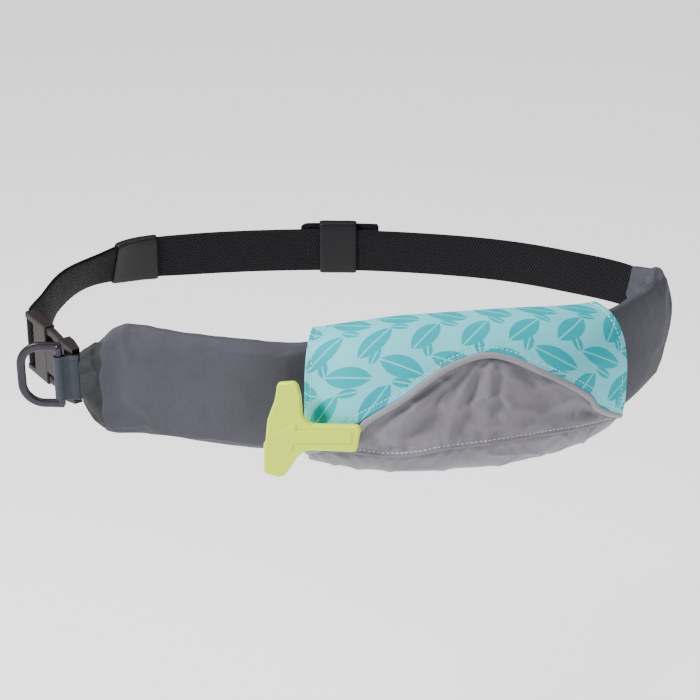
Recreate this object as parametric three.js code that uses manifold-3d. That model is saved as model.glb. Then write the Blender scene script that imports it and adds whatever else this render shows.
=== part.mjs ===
// Inflatable belt pack, as worn: a black webbing belt runs as one loop through a padded sleeve at the
// front, which carries a cloth pouch with a pull handle, and closes with a side-release buckle.
// Millimetres, +Z up, the pouch towards -Y, the long way of the loop along X,
// with the origin at the centre of the waist opening.
import * as THREE from 'three';
import { mergeVertices } from 'three/addons/utils/BufferGeometryUtils.js';
import Module from 'manifold-3d';

// Driving dimensions of the loop, measured on the middle line of the webbing
const loopHalfWidth = 250.5;
const loopHalfDepth = 143;

// Webbing
const webbingWidth = 38;
const webbingThickness = 1.6;
const strapStep = 11;
const tailEndFold = 66;
const tailFoldShareBefore = 0.42;
const tailCornerScales = [0.93, 0.8];
const tailFoldRise = 5;
const tailFoldCornerReach = 6;
const tailLeavesBar = 16;
const lapShareOfCuff = 0.5;
const lapStep = 5;
const seamRun = 1;

// Clearances
const seatGap = 0.3;
const layerGap = 1.0;
const gussetGap = 1.3;
const hingeGap = 0.35;

// Padded sleeve
const padHalfHeight = 45;
const padThickness = 19;
const cuffLength = 17;
const channelGap = 0.6;
const cuffStep = 4;

// Pouch
const pouchLength = 224;
const pouchStartAlongPad = 177;
const pouchHalfHeight = 56;
const pouchDepth = 52;
const pouchBackDepth = 4.5;
const coverThickness = 2;
const flapThickness = 1.8;
const gussetThickness = 1.8;
const pipingHeight = 4;
const pipingThickness = 2.6;

// Side-release buckle
const buckleHalfHeight = 25;
const maleBaseLength = 33;
const maleThickness = 9;
const barRadius = 2.4;
const barInset = 3;
const webbingWindow = 8;
const windowPlay = 1.2;
const cutPast = 4;
const buckleBevel = 0.8;
const armRoot = 4;
const armInset = 1.5;
const armEndGap = 1.5;
const armThickness = 6;
const guideLength = 20;
const guideHeight = 9;
const guideThickness = 3;
const femaleThickness = 11;
const femaleWall = 1.7;
const femaleEndThickness = 6.4;
const femaleHousingHalfHeight = 12.5;
const femaleShellLength = 8;
const femaleWindowPlay = 3.5;
const femaleTaperStart = 2;
const halvesGap = 1.2;
const railHeight = 3;
const femaleBarTurn = [290, 45];
const maleBarTurn = [-90, 120];
const barTurnStep = 30;

// D-ring and its tab
const ringBandWidth = 6.5;
const ringBandThickness = 4.2;
const ringInsideLength = 26;
const ringInsideHeight = 41;
const ringCornerRadius = 16;
const ringBarRadius = 2.75;
const tabVisibleLength = 20;
const tabHeight = 36;
const ringRise = 2;
const tabClothThickness = 1.6;
const tabThickness = 3.6;
const tabOut = 4.2;
const mouthSlant = 1.9;
const tabNeckRun = 3;
const tabNeckTurn = 0.5;
const ringBandEnd = 1.5;

// Keepers
const keeperWall = 1.3;
const keeperLeftLength = 39;
const keeperLeftFromBack = 184;
const keeperMiddleLength = 32;
const keeperMiddleFromBack = 6;
const keeperClearance = 0.8;
const keeperCorner = 1.2;
const keeperStep = 9;

// Pull handle and its cord
const handleAlongPouch = -3.4;
const handleTurn = -1.7;
const handleRise = -14;
const handleClearance = 1.2;
const handleThickness = 4.4;
const handleEdge = 1.1;
const handleCorner = 2.5;
const arrowHeight = 0.8;
const arrowSink = 1;
const arrowCorner = 1;
const handleCordRadius = 1.6;
const handleCordHeadRadius = 4;
const handleCordHeadLength = 3;
const handleCordReach = 15;
const cordHoleGap = 0.6;

// The loop seen from above, anticlockwise from the middle of the back, in shares of its half width and
// half depth, with the webbing's inward lean at its top edge, in degrees, and its rise, in millimetres
const loopRows = [
  { place: 'back middle', right: -0.014, back: 1.0, lean: 0, rise: 0 },
  { place: 'back left', right: -0.313, back: 0.986, lean: 0, rise: 0 },
  { place: 'before left keeper', right: -0.553, back: 0.93, lean: 2, rise: 0 },
  { place: 'after left keeper', right: -0.745, back: 0.846, lean: 12, rise: 0 },
  { place: 'left corner', right: -0.872, back: 0.668, lean: 27, rise: 0 },
  { place: 'left side', right: -0.955, back: 0.385, lean: 14, rise: 0 },
  { place: 'before buckle', right: -0.98, back: 0.06, lean: 0, rise: -1 },
  { place: 'buckle male end', right: -1.0, back: -0.238, lean: 0, rise: -2 },
  { place: 'buckle female end', right: -0.824, back: -0.662, lean: 0, rise: -5 },
  { place: 'sleeve left mouth', right: -0.8, back: -0.7, lean: 0, rise: -1.5 },
  { place: 'sleeve left', right: -0.665, back: -0.71, lean: 0, rise: 0 },
  { place: 'sleeve front left', right: -0.429, back: -0.825, lean: 0, rise: 0 },
  { place: 'pouch left', right: -0.2, back: -0.93, lean: 0, rise: 0 },
  { place: 'pouch middle left', right: 0.066, back: -0.995, lean: 0, rise: 0 },
  { place: 'pouch middle right', right: 0.365, back: -0.955, lean: 0, rise: 0 },
  { place: 'pouch right', right: 0.625, back: -0.815, lean: 0, rise: 0 },
  { place: 'sleeve front right', right: 0.832, back: -0.55, lean: 0, rise: 0 },
  { place: 'sleeve right', right: 0.955, back: -0.2, lean: 0, rise: 0 },
  { place: 'sleeve side', right: 1.0, back: 0.105, lean: 0, rise: 0 },
  { place: 'sleeve right mouth', right: 0.947, back: 0.42, lean: 0, rise: 0 },
  { place: 'back right corner', right: 0.721, back: 0.685, lean: 0, rise: 0 },
  { place: 'back right', right: 0.521, back: 0.839, lean: 0, rise: 0 },
  { place: 'back middle right', right: 0.265, back: 0.944, lean: 0, rise: 0 },
];

// The sleeve from its left mouth to its right mouth: shares of its length, half height and thickness
const padRows = [
  { along: 0.0, top: 0.49, bottom: 0.52, thick: 0.8 },
  { along: 0.012, top: 0.56, bottom: 0.86, thick: 0.82 },
  { along: 0.028, top: 0.64, bottom: 1.04, thick: 0.82 },
  { along: 0.04, top: 0.84, bottom: 1.08, thick: 0.88 },
  { along: 0.06, top: 0.92, bottom: 1.11, thick: 0.95 },
  { along: 0.1, top: 0.94, bottom: 1.13, thick: 1.0 },
  { along: 0.22, top: 0.95, bottom: 1.11, thick: 1.0 },
  { along: 0.31, top: 0.97, bottom: 1.04, thick: 0.78 },
  { along: 0.5, top: 1.0, bottom: 0.98, thick: 0.7 },
  { along: 0.66, top: 1.06, bottom: 0.92, thick: 0.8 },
  { along: 0.74, top: 1.1, bottom: 0.9, thick: 1.0 },
  { along: 0.84, top: 1.04, bottom: 0.9, thick: 1.05 },
  { along: 0.91, top: 0.86, bottom: 0.86, thick: 1.0 },
  { along: 0.965, top: 0.6, bottom: 0.72, thick: 0.9 },
  { along: 1.0, top: 0.48, bottom: 0.54, thick: 0.7 },
];

// The pouch from its left edge to its right edge: shares of its length, half height and depth,
// with the seam and the flap's arched edge in degrees round the section, from the top over the front
const pouchRows = [
  { along: 0.0, top: 0.88, bottom: 0.92, depth: 0.58, arch: 125, seam: 130 },
  { along: 0.12, top: 0.99, bottom: 0.93, depth: 0.82, arch: 98, seam: 114 },
  { along: 0.28, top: 1.09, bottom: 0.94, depth: 0.98, arch: 75, seam: 112 },
  { along: 0.42, top: 1.12, bottom: 0.94, depth: 1.0, arch: 52, seam: 105 },
  { along: 0.55, top: 1.12, bottom: 0.93, depth: 0.98, arch: 45, seam: 104 },
  { along: 0.7, top: 1.09, bottom: 0.91, depth: 0.92, arch: 64, seam: 104 },
  { along: 0.85, top: 1.02, bottom: 0.88, depth: 0.82, arch: 88, seam: 110 },
  { along: 1.0, top: 0.94, bottom: 0.84, depth: 0.66, arch: 114, seam: 121 },
];

// Angles round the pouch section at its upper and lower back edges
const pouchTopBackAngle = -52;
const pouchBottomBackAngle = 206;
const pouchSectionPower = 0.74;
const pouchCentreOut = -6;
const gussetFromDegrees = 2;
const gussetToDegrees = 178;
const gussetStepDegrees = 11;
const gussetInset = 0.004;

// Folds pressed into the grey cover: from one point to another, in shares of the pouch's length
// and degrees round the section, with a depth and a width in millimetres
const coverFolds = [
  { fromAlong: 0.5, fromAngle: 52, toAlong: 0.3, toAngle: 96, depth: 2.2, width: 6 },
  { fromAlong: 0.53, fromAngle: 50, toAlong: 0.44, toAngle: 98, depth: 1.6, width: 5 },
  { fromAlong: 0.6, fromAngle: 52, toAlong: 0.74, toAngle: 96, depth: 1.8, width: 6 },
  { fromAlong: 0.88, fromAngle: 98, toAlong: 0.66, toAngle: 84, depth: 2.4, width: 5 },
  { fromAlong: 0.12, fromAngle: 108, toAlong: 0.34, toAngle: 100, depth: 2.2, width: 6 },
];

// Colours and finishes of the pieces
const finishes = {
  charcoalCloth: { color: 0x5b5c63, roughness: 0.85, metalness: 0 },
  darkCloth: { color: 0x4b4d52, roughness: 0.85, metalness: 0 },
  aquaCloth: { color: 0xa8e0e6, roughness: 0.8, metalness: 0 },
  greyCloth: { color: 0x9a979f, roughness: 0.8, metalness: 0 },
  piping: { color: 0x8f8f95, roughness: 0.8, metalness: 0 },
  blueGreyCloth: { color: 0x6b7680, roughness: 0.85, metalness: 0 },
  webbing: { color: 0x1c181d, roughness: 0.9, metalness: 0 },
  keeper: { color: 0x37343b, roughness: 0.7, metalness: 0 },
  bucklePlastic: { color: 0x4a4444, roughness: 0.5, metalness: 0 },
  ringMetal: { color: 0x65626c, roughness: 0.35, metalness: 0.9 },
  handlePlastic: { color: 0xdbe877, roughness: 0.5, metalness: 0 },
};

const up = new THREE.Vector3(0, 0, 1);

// Solids: joining and cutting
const manifold = await Module();
manifold.setup();

function toSolid(geometry) {
  const bare = geometry.clone();
  bare.deleteAttribute('normal');
  bare.deleteAttribute('uv');
  const merged = mergeVertices(bare, 1e-4);
  return new manifold.Manifold(new manifold.Mesh({
    numProp: 3,
    vertProperties: new Float32Array(merged.attributes.position.array),
    triVerts: new Uint32Array(merged.index.array),
  }));
}

function toGeometry(solid) {
  const mesh = solid.getMesh();
  const geometry = new THREE.BufferGeometry();
  geometry.setAttribute('position', new THREE.BufferAttribute(new Float32Array(mesh.vertProperties), 3));
  geometry.setIndex(new THREE.BufferAttribute(new Uint32Array(mesh.triVerts), 1));
  geometry.computeVertexNormals();
  return geometry;
}

// A closed body from shared points and triangles, turned so that its faces point out
function closedBody(points, triangles) {
  let volume = 0;
  for (const [a, b, c] of triangles) {
    volume += points[a].dot(points[b].clone().cross(points[c]));
  }
  const index = [];
  for (const [a, b, c] of triangles) {
    if (volume > 0) index.push(a, b, c);
    else index.push(a, c, b);
  }
  const geometry = new THREE.BufferGeometry();
  geometry.setAttribute('position', new THREE.Float32BufferAttribute(points.flatMap((p) => p.toArray()), 3));
  geometry.setIndex(index);
  geometry.computeVertexNormals();
  return geometry;
}

// Joins one ring of points to the next ring, both with the same count
function joinRings(triangles, firstStart, secondStart, count, flip = false) {
  for (let i = 0; i < count; i += 1) {
    const j = (i + 1) % count;
    const a = firstStart + i;
    const b = firstStart + j;
    const c = secondStart + j;
    const d = secondStart + i;
    if (flip) triangles.push([a, c, b], [a, d, c]);
    else triangles.push([a, b, c], [a, c, d]);
  }
}

// A body lofted through flat sections. Each section has its plane (point, out, up) and its outline as
// [out, up] pairs, and may have a hole outline, which makes a channel from end to end.
function loft(sections) {
  const points = [];
  const triangles = [];
  const place = (section, [out, rise]) => section.point.clone()
    .addScaledVector(section.out, out)
    .addScaledVector(section.up, rise);
  const outlineCount = sections[0].outline.length;
  const holeCount = sections[0].hole ? sections[0].hole.length : 0;
  const stride = outlineCount + holeCount;
  for (const section of sections) {
    for (const pair of section.outline) points.push(place(section, pair));
    if (holeCount) for (const pair of section.hole) points.push(place(section, pair));
  }
  for (let k = 0; k + 1 < sections.length; k += 1) {
    joinRings(triangles, k * stride, (k + 1) * stride, outlineCount);
    const holeStart = k * stride + outlineCount;
    if (holeCount) joinRings(triangles, holeStart, holeStart + stride, holeCount, true);
  }
  const flat = (pairs) => pairs.map(([x, y]) => new THREE.Vector2(x, y));
  const lastStart = (sections.length - 1) * stride;
  for (const [section, start, isLast] of [[sections[0], 0, false], [sections.at(-1), lastStart, true]]) {
    const holes = holeCount ? [flat(section.hole)] : [];
    const faces = THREE.ShapeUtils.triangulateShape(flat(section.outline), holes);
    const clockwise = THREE.ShapeUtils.isClockWise(flat(section.outline));
    for (const [a, b, c] of faces) {
      const sameTurn = faceTurn(section, a, b, c) !== clockwise;
      if (sameTurn === isLast) triangles.push([start + a, start + b, start + c]);
      else triangles.push([start + a, start + c, start + b]);
    }
  }
  return closedBody(points, triangles);
}

// True where three points of a section's outline and hole turn anticlockwise
function faceTurn(section, a, b, c) {
  const all = section.hole ? section.outline.concat(section.hole) : section.outline;
  const [p, q, r] = [all[a], all[b], all[c]];
  return (q[0] - p[0]) * (r[1] - p[1]) - (q[1] - p[1]) * (r[0] - p[0]) > 0;
}

// A cloth wall between two grids of points with the same rows and columns
function wall(outer, inner) {
  const rows = outer.length;
  const columns = outer[0].length;
  const points = [...outer.flat(), ...inner.flat()];
  const triangles = [];
  const back = rows * columns;
  const at = (side, r, c) => side * back + r * columns + c;
  const quad = (a, b, c, d) => triangles.push([a, b, c], [a, c, d]);
  for (let r = 0; r + 1 < rows; r += 1) {
    for (let c = 0; c + 1 < columns; c += 1) {
      quad(at(0, r, c), at(0, r + 1, c), at(0, r + 1, c + 1), at(0, r, c + 1));
      quad(at(1, r, c), at(1, r, c + 1), at(1, r + 1, c + 1), at(1, r + 1, c));
    }
  }
  for (let r = 0; r + 1 < rows; r += 1) {
    quad(at(0, r, 0), at(1, r, 0), at(1, r + 1, 0), at(0, r + 1, 0));
    quad(at(0, r, columns - 1), at(0, r + 1, columns - 1), at(1, r + 1, columns - 1), at(1, r, columns - 1));
  }
  for (let c = 0; c + 1 < columns; c += 1) {
    quad(at(0, 0, c), at(0, 0, c + 1), at(1, 0, c + 1), at(1, 0, c));
    quad(at(0, rows - 1, c), at(1, rows - 1, c), at(1, rows - 1, c + 1), at(0, rows - 1, c + 1));
  }
  return closedBody(points, triangles);
}

// A smooth value between the rows of a table, read at a share of the way along
function readTable(rows, key, along) {
  let k = 0;
  while (k + 2 < rows.length && along > rows[k + 1].along) k += 1;
  const span = rows[k + 1].along - rows[k].along;
  const t = THREE.MathUtils.clamp((along - rows[k].along) / span, 0, 1);
  const slope = (i) => {
    const a = rows[Math.max(i - 1, 0)];
    const b = rows[Math.min(i + 1, rows.length - 1)];
    return (b[key] - a[key]) / (b.along - a.along);
  };
  const first = rows[k][key];
  const second = rows[k + 1][key];
  const h = (2 * t - 3) * t * t;
  return first * (h + 1) - second * h
    + slope(k) * span * t * (1 - t) * (1 - t) - slope(k + 1) * span * t * t * (1 - t);
}

// The loop's line and the frame at a distance along it from the middle of the back
const rowDivisions = 60;
const loopLine = new THREE.CatmullRomCurve3(
  loopRows.map((row) => new THREE.Vector3(row.right * loopHalfWidth, row.back * loopHalfDepth, 0)),
  true,
  'centripetal',
);
loopLine.arcLengthDivisions = loopRows.length * rowDivisions;
const loopLength = loopLine.getLength();
const lengthsAlong = loopLine.getLengths();

function distanceAt(place) {
  return lengthsAlong[loopRows.findIndex((row) => row.place === place) * rowDivisions];
}

const hangRows = [
  ...loopRows.map((row) => ({ along: distanceAt(row.place), lean: row.lean, rise: row.rise })),
  { along: loopLength, lean: loopRows[0].lean, rise: loopRows[0].rise },
];

function frameAt(distance) {
  const wrapped = ((distance % loopLength) + loopLength) % loopLength;
  const share = wrapped / loopLength;
  const along = loopLine.getTangentAt(share);
  return {
    point: loopLine.getPointAt(share).setZ(readTable(hangRows, 'rise', wrapped)),
    along,
    out: along.clone().cross(up).normalize(),
    up: up.clone(),
    lean: THREE.MathUtils.degToRad(readTable(hangRows, 'lean', wrapped)),
  };
}

// The same frame turned with the webbing's lean
function leaningFrameAt(distance) {
  const frame = frameAt(distance);
  const leaning = new THREE.Quaternion().setFromAxisAngle(frame.along, -frame.lean);
  frame.out.applyQuaternion(leaning);
  frame.up.applyQuaternion(leaning);
  return frame;
}

function spread(from, to, step) {
  const count = Math.max(1, Math.round(Math.abs(to - from) / step));
  return Array.from({ length: count + 1 }, (_, i) => from + ((to - from) * i) / count);
}

// Padded sleeve: a flat puffed section with straight sides, round top and bottom, and the webbing's channel
const padStart = distanceAt('sleeve left mouth');
const padEnd = distanceAt('sleeve right mouth');
const padLength = padEnd - padStart;
const padSectionPoints = 20;
const padSectionPower = 0.62;
const shoulderShares = [0.1, 0.86];
const shoulderStep = 7;
const sleeveStep = 17;
const pouchStart = padStart + pouchStartAlongPad;

function padPoint(share, turn, grow) {
  const angle = turn * Math.PI * 2;
  const height = padHalfHeight * readTable(padRows, Math.sin(angle) > 0 ? 'top' : 'bottom', share) + grow;
  const half = (padThickness / 2) * readTable(padRows, 'thick', share) + grow;
  const puff = (value, power) => Math.sign(value) * Math.abs(value) ** power;
  return [half * puff(Math.cos(angle), padSectionPower), height * puff(Math.sin(angle), 1)];
}

function padOutline(share, grow = 0) {
  return Array.from({ length: padSectionPoints }, (_, i) => padPoint(share, i / padSectionPoints, grow));
}

function channelOutline(inside, outside) {
  const half = webbingWidth / 2 + channelGap;
  return [[-inside, -half], [outside, -half], [outside, half], [-inside, half]];
}

function padSection(distance, hole) {
  const share = (distance - padStart) / padLength;
  return { ...frameAt(distance), outline: padOutline(share), hole };
}

function waistPad() {
  const half = webbingThickness / 2 + channelGap;
  const shoulders = shoulderShares.map((share) => padStart + padLength * share);
  const stations = [
    ...spread(padStart + cuffLength, shoulders[0], shoulderStep),
    ...spread(shoulders[0], pouchStart, sleeveStep).slice(1),
    ...spread(pouchStart, pouchStart + pouchLength, sleeveStep).slice(1),
    ...spread(pouchStart + pouchLength, shoulders[1], sleeveStep).slice(1),
    ...spread(shoulders[1], padEnd, shoulderStep).slice(1),
  ];
  return loft(stations.map((distance) => padSection(distance, channelOutline(half, half))));
}

// The cuff's channel also takes the belt's sewn end, on the inside
function padEndCuff() {
  const inside = webbingThickness * 1.5 + seatGap + channelGap;
  const outside = webbingThickness / 2 + channelGap;
  const stations = spread(padStart, padStart + cuffLength - seatGap, cuffStep);
  return loft(stations.map((distance) => padSection(distance, channelOutline(inside, outside))));
}

// Buckle: its own line from the male end to the female end, with along, out and up directions
const buckleStart = frameAt(distanceAt('buckle male end')).point;
const buckleEnd = frameAt(distanceAt('buckle female end')).point;
const buckleAlong = buckleEnd.clone().sub(buckleStart).normalize();
const buckleOut = buckleAlong.clone().cross(up).normalize();
const buckleUp = buckleOut.clone().cross(buckleAlong).normalize();
const buckleLength = buckleEnd.distanceTo(buckleStart);

function bucklePoint(along, out, rise = 0) {
  return buckleStart.clone()
    .addScaledVector(buckleAlong, along)
    .addScaledVector(buckleOut, out)
    .addScaledVector(buckleUp, rise);
}

function shapeFrom(points, holes = []) {
  const shape = new THREE.Shape(points.map(([x, y]) => new THREE.Vector2(x, y)));
  for (const hole of holes) shape.holes.push(new THREE.Path(hole.map(([x, y]) => new THREE.Vector2(x, y))));
  return shape;
}

// A plate drawn along the buckle's line and up, with its thickness across, in the buckle's place
function bucklePlate(points, thickness, holes = [], bevel = buckleBevel) {
  const plate = new THREE.ExtrudeGeometry(shapeFrom(points, holes), {
    depth: thickness - 2 * bevel,
    bevelEnabled: bevel > 0,
    bevelThickness: bevel,
    bevelSize: bevel,
    bevelOffset: -bevel,
    bevelSegments: 1,
    curveSegments: 4,
  });
  plate.translate(0, 0, -(thickness - 2 * bevel) / 2);
  const turned = new THREE.Matrix4().makeBasis(buckleAlong, buckleUp, buckleOut);
  plate.applyMatrix4(turned.setPosition(buckleStart));
  return plate;
}

function box(alongFrom, alongTo, low, high) {
  return [[alongFrom, low], [alongTo, low], [alongTo, high], [alongFrom, high]];
}

function buckleBar(along) {
  const bar = new THREE.CylinderGeometry(barRadius, barRadius, 2 * (buckleHalfHeight - railHeight / 2), 12);
  const turned = new THREE.Matrix4().makeBasis(buckleAlong, buckleUp, buckleOut);
  bar.applyMatrix4(turned.setPosition(bucklePoint(along, 0)));
  return bar;
}

const windowHalf = webbingWidth / 2 + windowPlay;

// A side arm's outline: from its root or its tip, and down from its top
const armOutline = [
  ['root', 0, 6], ['root', 0, 0], ['root', 9, -0.6], ['tip', -12, 1], ['tip', -4, 4.4], ['tip', 0, 6.4],
  ['tip', 0, 10], ['tip', -6, 9.6], ['root', 12, 5],
];

// The female half's stations: its housing starts past the male base, and its window leaves room
// for the webbing round the bar
const barWrap = barRadius + seatGap + webbingThickness / 2;
const femaleFrom = maleBaseLength + halvesGap;
const femaleShellTo = buckleLength - barInset - barWrap - webbingThickness / 2 - femaleWindowPlay;
const femaleShellFrom = femaleShellTo - femaleShellLength;

// Male half: a ladder-lock base whose end bar carries the webbing, two side arms and a middle guide
function buckleMale() {
  const h = buckleHalfHeight;
  const windowTo = barInset + barRadius + webbingWindow;
  const base = toSolid(bucklePlate([
    [0, -h], [maleBaseLength, -h], [maleBaseLength, h], [0, h],
  ], maleThickness));
  const windowShape = box(-cutPast, windowTo, -windowHalf, windowHalf);
  const window = toSolid(bucklePlate(windowShape, maleThickness + cutPast, [], 0));
  const ends = { root: maleBaseLength - armRoot, tip: femaleShellTo - femaleWall - armEndGap };
  const lobe = armOutline.map(([end, along, drop]) => [ends[end] + along, h - armInset - drop]);
  const mirrored = lobe.map(([x, z]) => [x, -z]).reverse();
  const guide = box(ends.root, maleBaseLength + guideLength, -guideHeight / 2, guideHeight / 2);
  let solid = base.subtract(window).add(toSolid(buckleBar(barInset)));
  solid = solid.add(toSolid(bucklePlate(lobe, armThickness)));
  solid = solid.add(toSolid(bucklePlate(mirrored, armThickness)));
  solid = solid.add(toSolid(bucklePlate(guide, guideThickness, [], 0)));
  return toGeometry(solid);
}

// Female half: a housing over the middle guide, a full-height shell that catches the arms, and the end bar
function buckleFemale() {
  const h = buckleHalfHeight;
  const inner = femaleThickness - 2 * femaleWall;
  const profile = [
    [femaleFrom, -femaleHousingHalfHeight], [femaleShellFrom, -femaleHousingHalfHeight],
    [femaleShellFrom, -h], [femaleShellTo, -h],
    [buckleLength, -windowHalf - railHeight], [buckleLength, windowHalf + railHeight],
    [femaleShellTo, h], [femaleShellFrom, h], [femaleShellFrom, femaleHousingHalfHeight],
    [femaleFrom, femaleHousingHalfHeight],
  ];
  const cavity = box(femaleFrom - cutPast, femaleShellTo - femaleWall, -h + femaleWall, h - femaleWall);
  const window = box(femaleShellTo, buckleLength + cutPast, -windowHalf, windowHalf);
  const thinner = (femaleThickness - femaleEndThickness) / 2;
  const taperFrom = femaleShellFrom + femaleTaperStart;
  const wedge = (side) => {
    const shape = [
      [taperFrom, side * (femaleThickness / 2 + cutPast)],
      [taperFrom, side * (femaleThickness / 2)],
      [buckleLength, side * (femaleThickness / 2 - thinner)],
      [buckleLength + cutPast, side * (femaleThickness / 2 - thinner)],
      [buckleLength + cutPast, side * (femaleThickness / 2 + cutPast)],
    ];
    return loft([-h - cutPast, h + cutPast].map((rise) => ({
      point: bucklePoint(0, 0, rise), out: buckleAlong, up: buckleOut, outline: shape,
    })));
  };
  let solid = toSolid(bucklePlate(profile, femaleThickness));
  solid = solid.subtract(toSolid(bucklePlate(cavity, inner, [], 0)));
  solid = solid.subtract(toSolid(bucklePlate(window, femaleThickness + cutPast, [], 0)));
  solid = solid.subtract(toSolid(wedge(1))).subtract(toSolid(wedge(-1)));
  solid = solid.add(toSolid(buckleBar(buckleLength - barInset)));
  return toGeometry(solid);
}

// Belt webbing: one length, from its sewn loop on the female bar, through the sleeve, round the back,
// round the male bar and back outside itself as the tail, whose end is folded over
const layerStep = webbingThickness + seatGap;

function barTurn(along, [fromDegrees, toDegrees]) {
  return spread(fromDegrees, toDegrees, barTurnStep).map((degrees) => {
    const angle = THREE.MathUtils.degToRad(degrees);
    return bucklePoint(along + barWrap * Math.cos(angle), barWrap * Math.sin(angle));
  });
}

function beltPath() {
  const stations = [];
  const onLoop = (distance, out = 0, rise = 0, scale = 1) => {
    const frame = leaningFrameAt(distance);
    stations.push({
      point: frame.point.addScaledVector(frame.out, out).addScaledVector(up, rise), up: frame.up, scale,
    });
  };
  const onBar = (points) => {
    for (const point of points) stations.push({ point, up: buckleUp.clone(), scale: 1 });
  };
  const lapEnd = padStart + cuffLength * lapShareOfCuff;
  for (const distance of spread(lapEnd, padStart, lapStep)) onLoop(distance, -layerStep);
  onBar(barTurn(buckleLength - barInset, femaleBarTurn));
  for (const distance of spread(padStart + seamRun, padEnd, strapStep)) onLoop(distance);
  const backEnd = loopLength + distanceAt('buckle male end') - tailLeavesBar;
  for (const distance of spread(padEnd + strapStep, backEnd, strapStep)) onLoop(distance);
  onBar(barTurn(barInset, maleBarTurn));
  const foldAt = loopLength - tailEndFold * tailFoldShareBefore;
  for (const distance of spread(backEnd, foldAt, strapStep)) onLoop(distance, layerStep);
  const foldRadius = layerStep / 2;
  onLoop(foldAt - foldRadius, layerStep + foldRadius, tailFoldRise / 2);
  const foldBack = foldAt + tailEndFold;
  const shoulder = foldBack - tailFoldCornerReach;
  for (const distance of spread(foldAt, shoulder, strapStep)) onLoop(distance, 2 * layerStep, tailFoldRise);
  onLoop(shoulder + tailFoldCornerReach / 2, 2 * layerStep, tailFoldRise, tailCornerScales[0]);
  onLoop(foldBack, 2 * layerStep, tailFoldRise, tailCornerScales[1]);
  return stations;
}

function waistStrap() {
  const stations = beltPath();
  const sections = stations.map((station, i) => {
    const before = stations[Math.max(i - 1, 0)].point;
    const after = stations[Math.min(i + 1, stations.length - 1)].point;
    const along = after.clone().sub(before).normalize();
    const out = along.clone().cross(station.up).normalize();
    const half = webbingThickness / 2;
    const rise = (webbingWidth / 2) * station.scale;
    return {
      point: station.point, out, up: station.up,
      outline: [[-half, -rise], [half, -rise], [half, rise], [-half, rise]],
    };
  });
  return loft(sections);
}

// Keepers: smooth bands round the layers of webbing
function keeper(fromBack, length, inside, outside, low, high) {
  const band = (grow) => {
    const [l, r, b, t] = [-inside - grow, outside + grow, low - grow, high + grow];
    const c = keeperCorner + grow / 2;
    return [[l + c, b], [r - c, b], [r, b + c], [r, t - c], [r - c, t], [l + c, t], [l, t - c], [l, b + c]];
  };
  const stations = spread(fromBack - length / 2, fromBack + length / 2, keeperStep);
  return loft(stations.map((distance) => {
    const frame = leaningFrameAt(distance);
    return { ...frame, outline: band(keeperWall), hole: band(0) };
  }));
}

function keeperLeft() {
  const half = webbingThickness / 2 + keeperClearance;
  const tall = webbingWidth / 2 + keeperClearance;
  return keeper(keeperLeftFromBack, keeperLeftLength, half, layerStep + half, -tall, tall);
}

function keeperMiddle() {
  const half = webbingThickness / 2 + keeperClearance;
  const tall = webbingWidth / 2 + keeperClearance;
  return keeper(
    keeperMiddleFromBack, keeperMiddleLength, half, 2 * layerStep + half, -tall, tall + tailFoldRise,
  );
}

// D-ring tab: cloth folded round the ring's bar, with its tail in the cuff
const mouth = frameAt(padStart);
const tabAlong = mouth.point.clone().sub(frameAt(padStart + cuffLength).point).setZ(0).normalize();
const tabOutward = up.clone().cross(tabAlong).normalize();
const ringBarCentre = mouth.point.clone()
  .addScaledVector(tabOutward, tabOut)
  .addScaledVector(tabAlong, mouthSlant + tabVisibleLength - ringBarRadius - hingeGap - tabClothThickness);

function inTabPlane(geometry) {
  const turned = new THREE.Matrix4().makeBasis(tabAlong, tabOutward, up);
  geometry.applyMatrix4(turned.setPosition(ringBarCentre));
  return geometry;
}

function dRingTab() {
  const eyeInside = ringBarRadius + hingeGap;
  const eyeOutside = eyeInside + tabClothThickness;
  const tailTo = -(tabVisibleLength - eyeOutside - seatGap);
  const neck = Math.asin(tabThickness / 2 / eyeOutside);
  const neckEnd = -Math.cos(neck) * eyeOutside - tabNeckRun;
  const shape = new THREE.Shape();
  shape.moveTo(tailTo, -tabThickness / 2);
  shape.lineTo(neckEnd, -tabThickness / 2);
  shape.absarc(0, 0, eyeOutside, -Math.PI + neck + tabNeckTurn, Math.PI - neck - tabNeckTurn, false);
  shape.lineTo(neckEnd, tabThickness / 2);
  shape.lineTo(tailTo, tabThickness / 2);
  const eye = new THREE.Path();
  eye.absarc(0, 0, eyeInside, 0, Math.PI * 2, true);
  shape.holes.push(eye);
  const tab = new THREE.ExtrudeGeometry(shape, { depth: tabHeight, bevelEnabled: false, curveSegments: 14 });
  tab.translate(0, 0, -tabHeight / 2);
  return inTabPlane(tab);
}

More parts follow.
